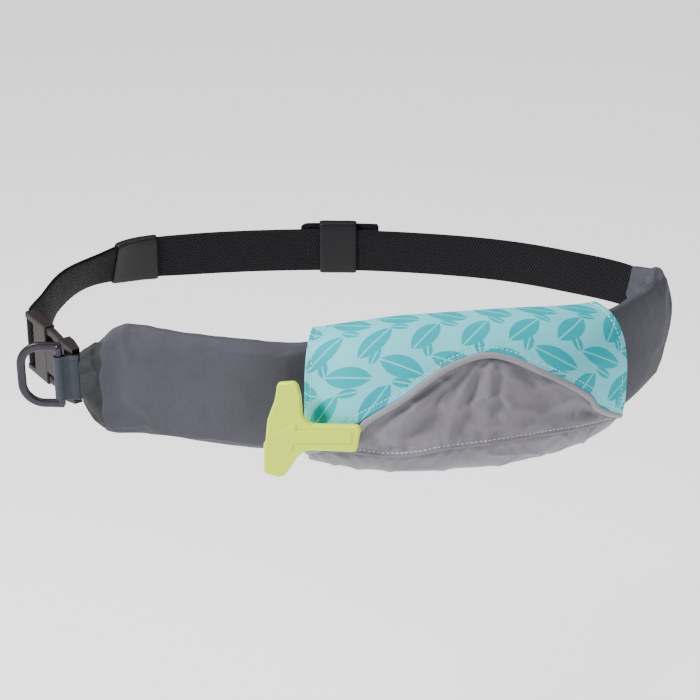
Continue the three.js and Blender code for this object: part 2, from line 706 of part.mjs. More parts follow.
// D-ring: a flat oval band bent to a D, joined to a round straight bar
function dRing() {
  const halfInside = ringInsideHeight / 2;
  const midHeight = halfInside + ringBandWidth / 2;
  const midLength = ringInsideLength + ringBandWidth / 2;
  const r = ringCornerRadius;
  const vertical = (x, z) => new THREE.Vector3(x, 0, z);
  const arcPoints = (cx, cz, from, to) => spread(from, to, 15).map((degrees) => {
    const angle = THREE.MathUtils.degToRad(degrees);
    return vertical(cx + r * Math.cos(angle), cz + r * Math.sin(angle));
  });
  const line = [
    vertical(-ringBandEnd, midHeight),
    vertical((midLength - r) / 2, midHeight),
    ...arcPoints(midLength - r, midHeight - r, 90, 0),
    ...arcPoints(midLength - r, r - midHeight, 0, -90),
    vertical((midLength - r) / 2, -midHeight),
    vertical(-ringBandEnd, -midHeight),
  ];
  const sections = line.map((point, i) => {
    const along = line[Math.min(i + 1, line.length - 1)].clone().sub(line[Math.max(i - 1, 0)]).normalize();
    const out = new THREE.Vector3(0, 1, 0).cross(along).normalize();
    const outline = Array.from({ length: 10 }, (_, k) => {
      const angle = (k / 10) * Math.PI * 2;
      return [(ringBandWidth / 2) * Math.cos(angle), (ringBandThickness / 2) * Math.sin(angle)];
    });
    return { point, out, up: new THREE.Vector3(0, 1, 0), outline };
  });
  const band = loft(sections);
  const bar = new THREE.CylinderGeometry(ringBarRadius, ringBarRadius, 2 * midHeight, 16);
  bar.rotateX(Math.PI / 2);
  const solid = toSolid(band).add(toSolid(bar));
  const ring = toGeometry(solid);
  ring.translate(0, 0, ringRise);
  return inTabPlane(ring);
}

// Pouch: a rounded section that stands in front of the sleeve, taller than it, and closes on it at the back
function pouchSectionPoint(share, degrees, grow) {
  const angle = THREE.MathUtils.degToRad(degrees);
  const round = (value) => Math.sign(value) * Math.abs(value) ** pouchSectionPower;
  const height = pouchHalfHeight * readTable(pouchRows, Math.cos(angle) > 0 ? 'top' : 'bottom', share);
  const front = pouchDepth * readTable(pouchRows, 'depth', share);
  const reach = Math.sin(angle) > 0 ? front : pouchBackDepth;
  const base = new THREE.Vector2(reach * round(Math.sin(angle)), height * round(Math.cos(angle)));
  base.x += pouchCentreOut;
  if (grow === 0) return base;
  const nudge = 1.5;
  const before = pouchSectionPoint(share, degrees - nudge, 0);
  const after = pouchSectionPoint(share, degrees + nudge, 0);
  const normal = new THREE.Vector2(before.y - after.y, after.x - before.x).normalize();
  return base.addScaledVector(normal, grow);
}

// How far the cover is pressed in by its folds, none of it under the flap. The folds fade out in so many
// degrees from the flap's edge and from the seam, and are shallow at both ends.
const foldFadeFrom = 2;
const foldFadeTo = 10;
const foldFadeAtSeam = 8;
const foldEnd = 0.15;

function foldDepth(share, degrees) {
  const arch = readTable(pouchRows, 'arch', share);
  const seam = readTable(pouchRows, 'seam', share);
  const shown = THREE.MathUtils.smoothstep(degrees, arch + foldFadeFrom, arch + foldFadeTo)
    * (1 - THREE.MathUtils.smoothstep(degrees, seam - foldFadeAtSeam, seam));
  const degreeLength = (Math.PI * pouchHalfHeight) / 180;
  let depth = 0;
  for (const fold of coverFolds) {
    const x = (share - fold.fromAlong) * pouchLength;
    const y = (degrees - fold.fromAngle) * degreeLength;
    const dx = (fold.toAlong - fold.fromAlong) * pouchLength;
    const dy = (fold.toAngle - fold.fromAngle) * degreeLength;
    const t = THREE.MathUtils.clamp((x * dx + y * dy) / (dx * dx + dy * dy), 0, 1);
    const away = Math.hypot(x - t * dx, y - t * dy) / fold.width;
    const rise = Math.sin(Math.PI * (foldEnd + (1 - 2 * foldEnd) * t));
    depth += fold.depth * rise * Math.exp(-away * away);
  }
  return depth * shown;
}

function pouchPoint(share, degrees, grow, folded = false) {
  const pressed = folded ? foldDepth(share, degrees) : 0;
  const flat = pouchSectionPoint(share, degrees, grow - pressed);
  const frame = frameAt(pouchStart + share * pouchLength);
  return frame.point.addScaledVector(frame.out, flat.x).addScaledVector(up, flat.y);
}

const pouchColumns = 26;
const coverRowCount = 16;
const flapRowCount = 12;
const bottomRowCount = 9;
const pouchShares = Array.from({ length: pouchColumns + 1 }, (_, i) => i / pouchColumns);

function pouchPanel(rowCount, fromDegrees, toDegrees, outerGrow, innerGrow, folded) {
  const grid = (grow) => pouchShares.map((share) => {
    const from = fromDegrees(share);
    const to = toDegrees(share);
    return Array.from({ length: rowCount + 1 }, (_, r) => (
      pouchPoint(share, from + ((to - from) * r) / rowCount, grow, folded)));
  });
  return wall(grid(outerGrow), grid(innerGrow));
}

const seamAt = (share) => readTable(pouchRows, 'seam', share);
const archAt = (share) => readTable(pouchRows, 'arch', share);
const seamGapDegrees = 0.4;
const pipingDegrees = 6.5;
const pipingSeat = 0.3;
const pipingLift = 0.2;

function pouchTopFlap() {
  const edgeAt = (share) => archAt(share) - pipingDegrees / 2;
  const outer = layerGap + flapThickness;
  const panel = pouchPanel(flapRowCount, () => pouchTopBackAngle, edgeAt, outer, layerGap, false);
  return toGeometry(toSolid(panel).subtract(cordHole()));
}

function pouchFrontCover() {
  const panel = pouchPanel(coverRowCount, () => pouchTopBackAngle, (share) => seamAt(share) - seamGapDegrees,
    0, -coverThickness, true);
  return toGeometry(toSolid(panel).subtract(cordHole()));
}

function pouchBottomPanel() {
  return pouchPanel(bottomRowCount, (share) => seamAt(share) + seamGapDegrees, () => pouchBottomBackAngle,
    0, -coverThickness, false);
}

// A side wall fills the section between the cover and the sleeve
function pouchGusset(share, inward) {
  const edge = -coverThickness - seatGap;
  const outline = spread(gussetFromDegrees, gussetToDegrees, gussetStepDegrees)
    .map((degrees) => pouchSectionPoint(share, degrees, edge).toArray());
  const from = pouchStart + share * pouchLength;
  const to = from + inward * gussetThickness;
  const side = loft([from, to].map((distance) => ({ ...frameAt(distance), outline })));
  const past = inward * gussetThickness;
  const sleeve = loft([from - past, to + past].map((distance) => {
    const padShare = (distance - padStart) / padLength;
    return { ...frameAt(distance), outline: padOutline(padShare, gussetGap) };
  }));
  const pieces = toSolid(side).subtract(toSolid(sleeve)).decompose();
  pieces.sort((a, b) => b.volume() - a.volume());
  return toGeometry(pieces[0]);
}

// Bound edge of the flap, just below it
function archPiping() {
  const grow = layerGap + pipingThickness / 2 + pipingLift;
  const line = pouchShares.map((share) => {
    const degrees = archAt(share) + pipingSeat * pipingDegrees / 2;
    const point = pouchPoint(share, degrees, grow);
    return { point, lifted: pouchPoint(share, degrees, grow + pipingHeight) };
  });
  const sections = line.map((station, i) => {
    const along = line[Math.min(i + 1, line.length - 1)].point.clone()
      .sub(line[Math.max(i - 1, 0)].point).normalize();
    const away = station.lifted.clone().sub(station.point).normalize();
    const side = away.clone().cross(along).normalize();
    const out = along.clone().cross(side).normalize();
    const outline = Array.from({ length: 8 }, (_, k) => {
      const angle = ((k + 0.5) / 8) * Math.PI * 2;
      return [(pipingThickness / 2) * Math.cos(angle), (pipingHeight / 2) * Math.sin(angle)];
    });
    return { point: station.point, out, up: side, outline };
  });
  return loft(sections);
}

// Pull handle: a flat T with rounded edges and a raised arrow. Its outline and the arrow's are given
// along the stem and up.
const handleOutline = [
  [-11.2, 43], [-9.7, 44.9], [1.4, 46.9], [4, 44.6], [6, 35.9], [7, 20.7], [8.5, 18.3], [13.6, 14.3],
  [47.7, 16.9], [49.5, 14.6], [46.3, -3.9], [43.4, -4.6], [12, -6.9], [8.2, -8.7], [2.1, -14.4], [-1, -20.9],
  [-7.2, -30.2], [-10.2, -31.9], [-21.6, -29.8], [-22.5, -27.8], [-22, -5], [-20.5, -3.2], [-18.8, 14.5],
  [-12.9, 31.5],
];
const arrowOutline = [
  [-13.4, 3.5], [2.4, 14.6], [1.9, 8.8], [43.5, 12.2], [42.1, 3], [0, -1.4], [-0.8, -8.4],
];

// The handle hangs in front of the pouch's left end, turned a little from the belt's own direction there
const handleFrame = frameAt(pouchStart + handleAlongPouch);
const handleRight = handleFrame.along.clone().applyAxisAngle(up, THREE.MathUtils.degToRad(handleTurn));
const handleOut = handleRight.clone().cross(up);
const handlePoint = handleFrame.point.clone().setZ(handleRise);
const pouchFrontStep = 4;

// How far the pouch's flap, piping and cover stand out behind the handle
function pouchFrontBehindHandle() {
  const [alongs, rises] = [0, 1].map((axis) => handleOutline.map((pair) => pair[axis]));
  let front = 0;
  for (const share of pouchShares) {
    const arch = archAt(share);
    for (const degrees of spread(0, 180, pouchFrontStep)) {
      const onFlap = degrees < arch + pipingDegrees;
      const place = pouchPoint(share, degrees, onFlap ? layerGap + pipingThickness + pipingLift : 0);
      place.sub(handlePoint);
      const along = place.dot(handleRight);
      const behind = along > Math.min(...alongs) && along < Math.max(...alongs)
        && place.z > Math.min(...rises) && place.z < Math.max(...rises);
      if (behind) front = Math.max(front, place.dot(handleOut));
    }
  }
  return front;
}

const handleBack = pouchFrontBehindHandle() + handleClearance;

function inHandlePlane(geometry) {
  const turned = new THREE.Matrix4().makeBasis(handleRight, up, handleOut);
  geometry.applyMatrix4(turned.setPosition(handlePoint.clone().addScaledVector(handleOut, handleBack)));
  return geometry;
}

const cornerShare = 0.45;

function roundedShape(points, radius) {
  const shape = new THREE.Shape();
  const corner = (i) => new THREE.Vector2(...points[(i + points.length) % points.length]);
  points.forEach((_, i) => {
    const [before, here, after] = [corner(i - 1), corner(i), corner(i + 1)];
    const shorter = Math.min(here.distanceTo(before), here.distanceTo(after));
    const reach = Math.min(radius, cornerShare * shorter);
    const start = here.clone().add(before.sub(here).setLength(reach));
    const end = here.clone().add(after.sub(here).setLength(reach));
    if (i === 0) shape.moveTo(start.x, start.y);
    else shape.lineTo(start.x, start.y);
    shape.quadraticCurveTo(here.x, here.y, end.x, end.y);
  });
  shape.closePath();
  return shape;
}

function jerkHandle() {
  const plate = new THREE.ExtrudeGeometry(roundedShape(handleOutline, handleCorner), {
    depth: handleThickness - 2 * handleEdge,
    bevelThickness: handleEdge,
    bevelSize: handleEdge,
    bevelOffset: -handleEdge,
    bevelSegments: 1,
    curveSegments: 2,
  });
  plate.translate(0, 0, handleEdge);
  const relief = new THREE.ExtrudeGeometry(roundedShape(arrowOutline, arrowCorner), {
    depth: arrowHeight + arrowSink, bevelEnabled: false, curveSegments: 1,
  });
  relief.translate(0, 0, handleThickness - arrowSink);
  return inHandlePlane(toGeometry(toSolid(plate).add(toSolid(relief))));
}

// The handle's cord runs from the stem through the cover, under the flap's edge, and ends in a head inside
const cordPlace = { along: 40, rise: -0.5 };

function cordPiece(radius, from, to, segments) {
  const piece = new THREE.CylinderGeometry(radius, radius, to - from, segments);
  piece.rotateX(Math.PI / 2);
  piece.translate(cordPlace.along, cordPlace.rise, (from + to) / 2);
  return toSolid(inHandlePlane(piece));
}

function cordHole() {
  return cordPiece(handleCordRadius + cordHoleGap, -handleCordReach, 0, 12);
}

function handleCord() {
  const headStart = handleCordHeadLength - handleCordReach;
  const cord = cordPiece(handleCordRadius, -handleCordReach, -seatGap, 12);
  return toGeometry(cord.add(cordPiece(handleCordHeadRadius, -handleCordReach, headStart, 16)));
}

const builders = {
  waist_pad: [waistPad, finishes.charcoalCloth],
  pad_end_cuff: [padEndCuff, finishes.darkCloth],
  pouch_front_cover: [pouchFrontCover, finishes.greyCloth],
  pouch_top_flap: [pouchTopFlap, finishes.aquaCloth],
  pouch_bottom_panel: [pouchBottomPanel, finishes.greyCloth],
  pouch_left_gusset: [() => pouchGusset(gussetInset, 1), finishes.greyCloth],
  pouch_right_gusset: [() => pouchGusset(1 - gussetInset, -1), finishes.greyCloth],
  arch_piping: [archPiping, finishes.piping],
  waist_strap: [waistStrap, finishes.webbing],
  keeper_left: [keeperLeft, finishes.keeper],
  keeper_middle: [keeperMiddle, finishes.keeper],
  buckle_male: [buckleMale, finishes.bucklePlastic],
  buckle_female: [buckleFemale, finishes.bucklePlastic],
  d_ring_tab: [dRingTab, finishes.blueGreyCloth],
  d_ring: [dRing, finishes.ringMetal],
  jerk_handle: [jerkHandle, finishes.handlePlastic],
  handle_cord: [handleCord, finishes.webbing],
};

const beltPack = new THREE.Group();
for (const [name, [build, finish]] of Object.entries(builders)) {
  const mesh = new THREE.Mesh(build(), new THREE.MeshStandardMaterial(finish));
  mesh.name = name;
  beltPack.add(mesh);
}

export default beltPack;
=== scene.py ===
import math

import bmesh
import bpy
import numpy as np
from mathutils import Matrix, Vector, noise


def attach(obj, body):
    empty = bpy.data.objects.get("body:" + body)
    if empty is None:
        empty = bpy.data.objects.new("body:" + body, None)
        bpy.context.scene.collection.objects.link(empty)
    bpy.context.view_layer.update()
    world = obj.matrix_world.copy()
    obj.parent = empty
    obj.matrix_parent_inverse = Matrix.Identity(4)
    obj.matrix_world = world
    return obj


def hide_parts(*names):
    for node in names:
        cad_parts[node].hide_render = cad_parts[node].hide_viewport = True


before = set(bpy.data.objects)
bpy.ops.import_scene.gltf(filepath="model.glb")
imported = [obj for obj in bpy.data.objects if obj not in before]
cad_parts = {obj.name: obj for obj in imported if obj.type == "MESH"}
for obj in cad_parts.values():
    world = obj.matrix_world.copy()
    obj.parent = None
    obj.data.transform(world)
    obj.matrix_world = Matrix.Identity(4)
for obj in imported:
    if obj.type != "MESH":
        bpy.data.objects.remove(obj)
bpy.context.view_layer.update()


# Camera: a long lens a little above the belt, looking straight at the pouch's side of the loop.
camera_data = bpy.data.cameras.new("camera")
camera_data.sensor_width = 36
camera_data.lens = 90.7
camera_data.clip_end = 30
camera = bpy.data.objects.new("camera", camera_data)
camera.location = (-0.0035, -1.2918, 0.5917)
camera_aim = Vector((0.00047, -0.0298, -0.0143))
camera.rotation_euler = (camera_aim - camera.location).to_track_quat("-Z", "Y").to_euler()
bpy.context.scene.collection.objects.link(camera)
bpy.context.scene.camera = camera


# Floor and studio light: a plain white light table well below the pack, which is held up as if worn,
# with a key light from the upper left, weaker ones from the right, the left and above, and a pale room.
def linear(colour):
    parts = [int(colour[i:i + 2], 16) / 255 for i in (1, 3, 5)]
    return tuple(p / 12.92 if p <= 0.04045 else ((p + 0.055) / 1.055) ** 2.4 for p in parts) + (1.0,)


def add(tree, kind, inputs=None, **settings):
    """A node with its settings and inputs. An input given as a node takes that node's first output."""
    new = tree.nodes.new(kind)
    for key, value in settings.items():
        setattr(new, key, value)
    for key, value in (inputs or {}).items():
        if isinstance(value, bpy.types.Node):
            value = value.outputs[0]
        if isinstance(value, bpy.types.NodeSocket):
            tree.links.new(value, new.inputs[key])
        else:
            new.inputs[key].default_value = value
    return new


def start_material(name):
    material = bpy.data.materials.new(name)
    material.use_nodes = True
    material.node_tree.nodes.clear()
    return material, material.node_tree


floor_height = -0.6
floor_mesh = bpy.data.meshes.new("floor")
floor_reach = 14
floor_mesh.from_pydata([(x * floor_reach, y * floor_reach, floor_height)
                        for x, y in ((-1, -1), (1, -1), (1, 1), (-1, 1))], [], [(0, 1, 2, 3)])
floor = bpy.data.objects.new("floor", floor_mesh)
bpy.context.scene.collection.objects.link(floor)
painted_floor, tree = start_material("painted_floor")
surface = add(tree, "ShaderNodeBsdfPrincipled", {"Base Color": linear("#fbfbfb"), "Roughness": 0.9,
              "Emission Color": linear("#ffffff"), "Emission Strength": 1.05})
add(tree, "ShaderNodeOutputMaterial", {"Surface": surface})
floor_mesh.materials.append(painted_floor)

world = bpy.data.worlds.new("room")
world.use_nodes = True
world.node_tree.nodes["Background"].inputs[0].default_value = (1.0, 1.0, 1.0, 1.0)
world.node_tree.nodes["Background"].inputs[1].default_value = 0.22
bpy.context.scene.world = world
for name, place, size, power in [("key_light", (-1.35, -0.6, 1.35), 0.4, 60),
                                 ("left_light", (-1.7, 0.1, 0.7), 0.8, 7),
                                 ("right_light", (1.5, -0.9, 0.8), 0.8, 9),
                                 ("top_light", (0.2, 0.5, 1.7), 1.0, 14)]:
    light_data = bpy.data.lights.new(name, "AREA")
    light_data.size = size
    light_data.energy = power
    light = bpy.data.objects.new(name, light_data)
    light.location = place
    light.rotation_euler = (-Vector(place)).to_track_quat("-Z", "Y").to_euler()
    bpy.context.scene.collection.objects.link(light)


# Waist strap: one length of black 38 mm polyester webbing. It is sewn round the female half's bar, runs
# through the sleeve and round the back, turns on the male half's bar and comes back outside itself as
# the tail, whose end is folded over.
loop_half_width = 250.5
loop_half_depth = 143
loop_rows = [
    ("back middle", -0.014, 1.0, 0, 0), ("back left", -0.313, 0.986, 0, 0),
    ("before left keeper", -0.553, 0.93, 2, 0), ("after left keeper", -0.745, 0.846, 12, 0),
    ("left corner", -0.872, 0.668, 27, 0), ("left side", -0.955, 0.385, 14, 0),
    ("before buckle", -0.98, 0.06, 0, -1), ("buckle male end", -1.0, -0.238, 0, -2),
    ("buckle female end", -0.824, -0.662, 0, -5), ("sleeve left mouth", -0.8, -0.7, 0, -1.5),
    ("sleeve left", -0.665, -0.71, 0, 0), ("sleeve front left", -0.429, -0.825, 0, 0),
    ("pouch left", -0.2, -0.93, 0, 0), ("pouch middle left", 0.066, -0.995, 0, 0),
    ("pouch middle right", 0.365, -0.955, 0, 0), ("pouch right", 0.625, -0.815, 0, 0),
    ("sleeve front right", 0.832, -0.55, 0, 0), ("sleeve right", 0.955, -0.2, 0, 0),
    ("sleeve side", 1.0, 0.105, 0, 0), ("sleeve right mouth", 0.947, 0.42, 0, 0),
    ("back right corner", 0.721, 0.685, 0, 0), ("back right", 0.521, 0.839, 0, 0),
    ("back middle right", 0.265, 0.944, 0, 0),
]
samples_per_row = 120
webbing_width = 38
webbing_thickness = 1.6
seat_gap = 0.3
layer_step = webbing_thickness + seat_gap
tail_end_fold = 66
tail_fold_rise = 5


def loop_line():
    corners = np.array([(r * loop_half_width, b * loop_half_depth) for _, r, b, _, _ in loop_rows])
    count = len(corners)
    w = (np.arange(samples_per_row) / samples_per_row)[:, None]
    line = []
    for i in range(count):
        p0, p1, p2, p3 = corners[i - 1], corners[i], corners[(i + 1) % count], corners[(i + 2) % count]
        d0, d1, d2 = (np.linalg.norm(b - a) ** 0.5 for a, b in ((p0, p1), (p1, p2), (p2, p3)))
        t1 = ((p1 - p0) / d0 - (p2 - p0) / (d0 + d1) + (p2 - p1) / d1) * d1
        t2 = ((p2 - p1) / d1 - (p3 - p1) / (d1 + d2) + (p3 - p2) / d2) * d1
        square, cube = 3 * p2 - 3 * p1 - 2 * t1 - t2, 2 * p1 - 2 * p2 + t1 + t2
        line.append(p1 + t1 * w + square * w**2 + cube * w**3)
    line = np.concatenate(line + [corners[:1]])
    steps = np.linalg.norm(np.diff(line, axis=0), axis=1)
    return line, np.concatenate([[0], np.cumsum(steps)])


belt_line, belt_distance = loop_line()
loop_length = belt_distance[-1]
row_distance = {row[0]: belt_distance[i * samples_per_row] for i, row in enumerate(loop_rows)}
hang = {"along": [*row_distance.values(), loop_length],
        "lean": [row[3] for row in loop_rows] + [0], "rise": [row[4] for row in loop_rows] + [0]}


def read_table(table, column, along):
    x, y = np.array(table["along"], float), np.array(table[column], float)
    last = len(x) - 1
    before, after = np.maximum(np.arange(last + 1) - 1, 0), np.minimum(np.arange(last + 1) + 1, last)
    slope = (y[after] - y[before]) / (x[after] - x[before])
    k = np.clip(np.searchsorted(x, along, "left") - 1, 0, last - 1)
    span = x[k + 1] - x[k]
    t = np.clip((along - x[k]) / span, 0, 1)
    h = (2 * t - 3) * t * t
    return (y[k] * (h + 1) - y[k + 1] * h + slope[k] * span * t * (1 - t) ** 2
            - slope[k + 1] * span * t * t * (1 - t))


def belt_frame(distance, leaning=False):
    """Points of the belt's line, and its out and up directions, by distance from the back's middle."""
    wrapped = np.mod(np.asarray(distance, float), loop_length)
    point = np.stack([np.interp(wrapped, belt_distance, belt_line[:, i]) for i in (0, 1)]
                     + [read_table(hang, "rise", wrapped)], -1)
    ahead = np.stack([np.interp(np.mod(wrapped + 0.5, loop_length), belt_distance, belt_line[:, i])
                      for i in (0, 1)], -1)
    behind = np.stack([np.interp(np.mod(wrapped - 0.5, loop_length), belt_distance, belt_line[:, i])
                       for i in (0, 1)], -1)
    along = ahead - behind
    along /= np.linalg.norm(along, axis=-1, keepdims=True)
    out = np.stack([along[..., 1], -along[..., 0], np.zeros_like(wrapped)], -1)
    up = np.broadcast_to([0.0, 0.0, 1.0], out.shape)
    if leaning:
        lean = np.radians(read_table(hang, "lean", wrapped))[..., None]
        out, up = out * np.cos(lean) + up * np.sin(lean), up * np.cos(lean) - out * np.sin(lean)
    return point, out, up


def spread(start, end, step):
    return np.linspace(start, end, max(1, round(abs(end - start) / step)) + 1)


buckle_start = belt_frame(row_distance["buckle male end"])[0]
buckle_end = belt_frame(row_distance["buckle female end"])[0]
buckle_length = float(np.linalg.norm(buckle_end - buckle_start))
buckle_along = (buckle_end - buckle_start) / buckle_length
buckle_out = np.cross(buckle_along, [0, 0, 1])
buckle_out /= np.linalg.norm(buckle_out)
buckle_up = np.cross(buckle_out, buckle_along)
bar_inset = 3
bar_radius = 2.4
bar_wrap = bar_radius + seat_gap + webbing_thickness / 2
sleeve_start = row_distance["sleeve left mouth"]
sleeve_end = row_distance["sleeve right mouth"]
sleeve_length = sleeve_end - sleeve_start
# The sewn loop's lap under the belt, the place where the tail turns back, the turns round both bars in
# degrees, and the share of the folded end that lies past the middle of the back.
sewn_lap = 8.5
tail_turn_back = 16
female_bar_turn = (290, 45)
male_bar_turn = (-90, 120)
bar_turn_step = 15
fold_share = 0.42
route_step = 4
fine_step = 3


def strap_route():
    points, ups, widths = [], [], []

    def on_belt(distances, out=0.0, rise=0.0, width=1.0):
        point, outward, up = belt_frame(distances, leaning=True)
        points.extend(point + outward * out + np.array([0, 0, rise]))
        ups.extend(up)
        widths.extend(np.broadcast_to(width, len(point)))

    def on_bar(along, start, end):
        for degrees in spread(start, end, bar_turn_step):
            a = math.radians(degrees)
            points.append(buckle_start + buckle_along * (along + bar_wrap * math.cos(a))
                          + buckle_out * bar_wrap * math.sin(a))
            ups.append(buckle_up)
            widths.append(1.0)

    on_belt(spread(sleeve_start + sewn_lap, sleeve_start, fine_step), -layer_step)
    on_bar(buckle_length - bar_inset, *female_bar_turn)
    on_belt(spread(sleeve_start + 1, sleeve_end, route_step))
    back_end = loop_length + row_distance["buckle male end"] - tail_turn_back
    on_belt(spread(sleeve_end + route_step, back_end, route_step))
    on_bar(bar_inset, *male_bar_turn)
    fold_at = loop_length - tail_end_fold * fold_share
    on_belt(spread(back_end, fold_at, route_step), layer_step)
    for degrees in (30, 60, 90, 120, 150):
        a = math.radians(degrees)
        on_belt(np.array([fold_at - layer_step / 2 * math.sin(a)]),
                layer_step + layer_step / 2 * (1 - math.cos(a)), tail_fold_rise * degrees / 180)
    fold_back = fold_at + tail_end_fold
    on_belt(spread(fold_at, fold_back - 6, fine_step), 2 * layer_step, tail_fold_rise)
    on_belt(np.array([fold_back - 4, fold_back - 2, fold_back - 0.6, fold_back]), 2 * layer_step,
            tail_fold_rise, np.array([0.98, 0.94, 0.88, 0.8]))
    return np.array(points), np.array(ups), np.array(widths)


def grid_object(name, points, close_rows=False, close_columns=False, uv=None, facing=None, caps=False):
    """A smooth mesh through a grid of points in millimetres, with its faces turned outwards."""
    rows, columns = points.shape[:2]
    r = np.arange(rows if close_rows else rows - 1)[:, None]
    c = np.arange(columns if close_columns else columns - 1)[None, :]
    next_row, next_column = (r + 1) % rows, (c + 1) % columns
    quads = np.stack([r * columns + c, r * columns + next_column,
                      next_row * columns + next_column, next_row * columns + c], -1).reshape(-1, 4)
    flat = points.reshape(-1, 3) * 0.001
    a, b, d = flat[quads[:, 0]], flat[quads[:, 1]], flat[quads[:, 3]]
    if facing is None:
        turned = np.einsum("ij,ij->i", a, np.cross(b, flat[quads[:, 2]])).sum() \
            + np.einsum("ij,ij->i", a, np.cross(flat[quads[:, 2]], d)).sum() < 0
    else:
        turned = (np.cross(b - a, d - a) @ np.array(facing, float)).sum() < 0
    faces = quads[:, ::-1] if turned else quads
    polygons = [tuple(map(int, face)) for face in faces]
    if caps:
        ends = [list(range(columns)), list(range((rows - 1) * columns, rows * columns))]
        polygons += [tuple(ends[0] if turned else ends[0][::-1]),
                     tuple(ends[1][::-1] if turned else ends[1])]
    mesh = bpy.data.meshes.new(name)
    mesh.from_pydata(flat.tolist(), [], polygons)
    if uv is not None:
        first = r * (columns + 1) + c
        second = first + columns + 1
        corner = np.stack([first, first + 1, second + 1, second], -1).reshape(-1, 4)
        corner = corner[:, ::-1] if turned else corner
        table = uv.reshape(-1, 2)[corner.reshape(-1)]
        layer = mesh.uv_layers.new(name="cloth")
        values = np.zeros((len(mesh.loops), 2))
        values[:len(table)] = table
        layer.data.foreach_set("uv", values.reshape(-1))
    mesh.polygons.foreach_set("use_smooth", [True] * len(mesh.polygons))
    mesh.update()
    piece = bpy.data.objects.new(name, mesh)
    bpy.context.scene.collection.objects.link(piece)
    return piece


def measured_uv(points):
    """Metres along the rows and round the columns, measured on the grid's middle lines."""
    rows, columns = points.shape[:2]
    middle = points[:, columns // 2]
    run = np.concatenate([[0], np.cumsum(np.linalg.norm(np.diff(middle, axis=0), axis=1))])
    across = points[rows // 2]
    girth = np.concatenate([[0], np.cumsum(np.linalg.norm(np.diff(across, axis=0), axis=1))])
    run = np.append(run, run[-1] + 4)
    girth = np.append(girth, girth[-1] + np.linalg.norm(across[0] - across[-1]))
    return np.stack(np.meshgrid(run, girth, indexing="ij"), -1) * 0.001


def sweep(name, points, ups, outline, widths=None, closed=False):
    """A body swept along points, its outline given as (out, up) pairs."""
    last, station = len(points) - 1, np.arange(len(points))
    before = points[station - 1 if closed else np.maximum(station - 1, 0)]
    after = points[(station + 1) % len(points) if closed else np.minimum(station + 1, last)]
    along = after - before
    along /= np.linalg.norm(along, axis=1, keepdims=True)
    out = np.cross(along, ups)
    out /= np.linalg.norm(out, axis=1, keepdims=True)
    scale = np.ones(len(points)) if widths is None else widths
    outline = np.array(outline, float)
    grid = (points[:, None] + out[:, None] * outline[None, :, :1]
            + ups[:, None] * outline[None, :, 1:] * scale[:, None, None])
    return grid_object(name, grid, close_rows=closed, close_columns=True, uv=measured_uv(grid),
                       caps=not closed)


half_thick, half_wide, edge = webbing_thickness / 2, webbing_width / 2, 0.5
webbing_outline = ([(half_thick, z) for z in np.linspace(edge - half_wide, half_wide - edge, 9)]
                   + [(0.55 * half_thick, half_wide), (-0.55 * half_thick, half_wide)]
                   + [(-half_thick, z) for z in np.linspace(half_wide - edge, edge - half_wide, 9)]
                   + [(-0.55 * half_thick, -half_wide), (0.55 * half_thick, -half_wide)])
route, route_up, route_width = strap_route()
waist_strap = sweep("waist_strap_webbing", route, route_up, webbing_outline, route_width)

# Woven polyester webbing: raised warp bumps in columns 2.4 mm apart, each half a bump on from the next,
# drawn as coarse as they need to show; matt black, with a faint fuzz, and a painted highlight that makes
# each bump's top lighter than the hollows between the bumps.
woven_webbing, tree = start_material("woven_polyester_webbing")
place = add(tree, "ShaderNodeUVMap", uv_map="cloth")
split = add(tree, "ShaderNodeSeparateXYZ", {0: place})
bump_width, bump_length = 0.0024, 0.0026
column = add(tree, "ShaderNodeMath", {0: split.outputs[1], 1: 1 / bump_width}, operation="MULTIPLY")
parity = add(tree, "ShaderNodeMath", {0: column}, operation="FLOOR")
shift = add(tree, "ShaderNodeMath", {0: parity, 1: 0.5}, operation="MULTIPLY")
row = add(tree, "ShaderNodeMath", {0: split, 1: 1 / bump_length, 2: shift}, operation="MULTIPLY_ADD")
rises = []
for count in (column, row):
    turn = add(tree, "ShaderNodeMath", {0: count, 1: math.pi}, operation="MULTIPLY")
    wave = add(tree, "ShaderNodeMath", {0: turn}, operation="SINE")
    rises.append(add(tree, "ShaderNodeMath", {0: wave}, operation="ABSOLUTE"))
bumps = add(tree, "ShaderNodeMath", {0: rises[0], 1: rises[1]}, operation="MULTIPLY")
here = add(tree, "ShaderNodeTexCoord")
fuzz = add(tree, "ShaderNodeTexNoise", {"Vector": here.outputs["Object"], "Scale": 700.0,
           "Detail": 4.0})
height = add(tree, "ShaderNodeMath", {0: fuzz, 1: 0.12, 2: bumps}, operation="MULTIPLY_ADD")
relief = add(tree, "ShaderNodeBump", {"Height": height, "Strength": 1.0, "Distance": 0.0009})
# Painted highlight: the colour runs from near black in the hollows to a lighter grey on the bumps' tops.
shade = add(tree, "ShaderNodeMix", {0: bumps, 6: linear("#020102"), 7: linear("#1c191d")},
            data_type="RGBA")
surface = add(tree, "ShaderNodeBsdfPrincipled", {"Base Color": shade.outputs[2], "Roughness": 0.8,
              "Specular IOR Level": 0.22, "Normal": relief})
add(tree, "ShaderNodeOutputMaterial", {"Surface": surface})
waist_strap.data.materials.append(woven_webbing)
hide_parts("waist_strap")
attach(waist_strap, "pack")


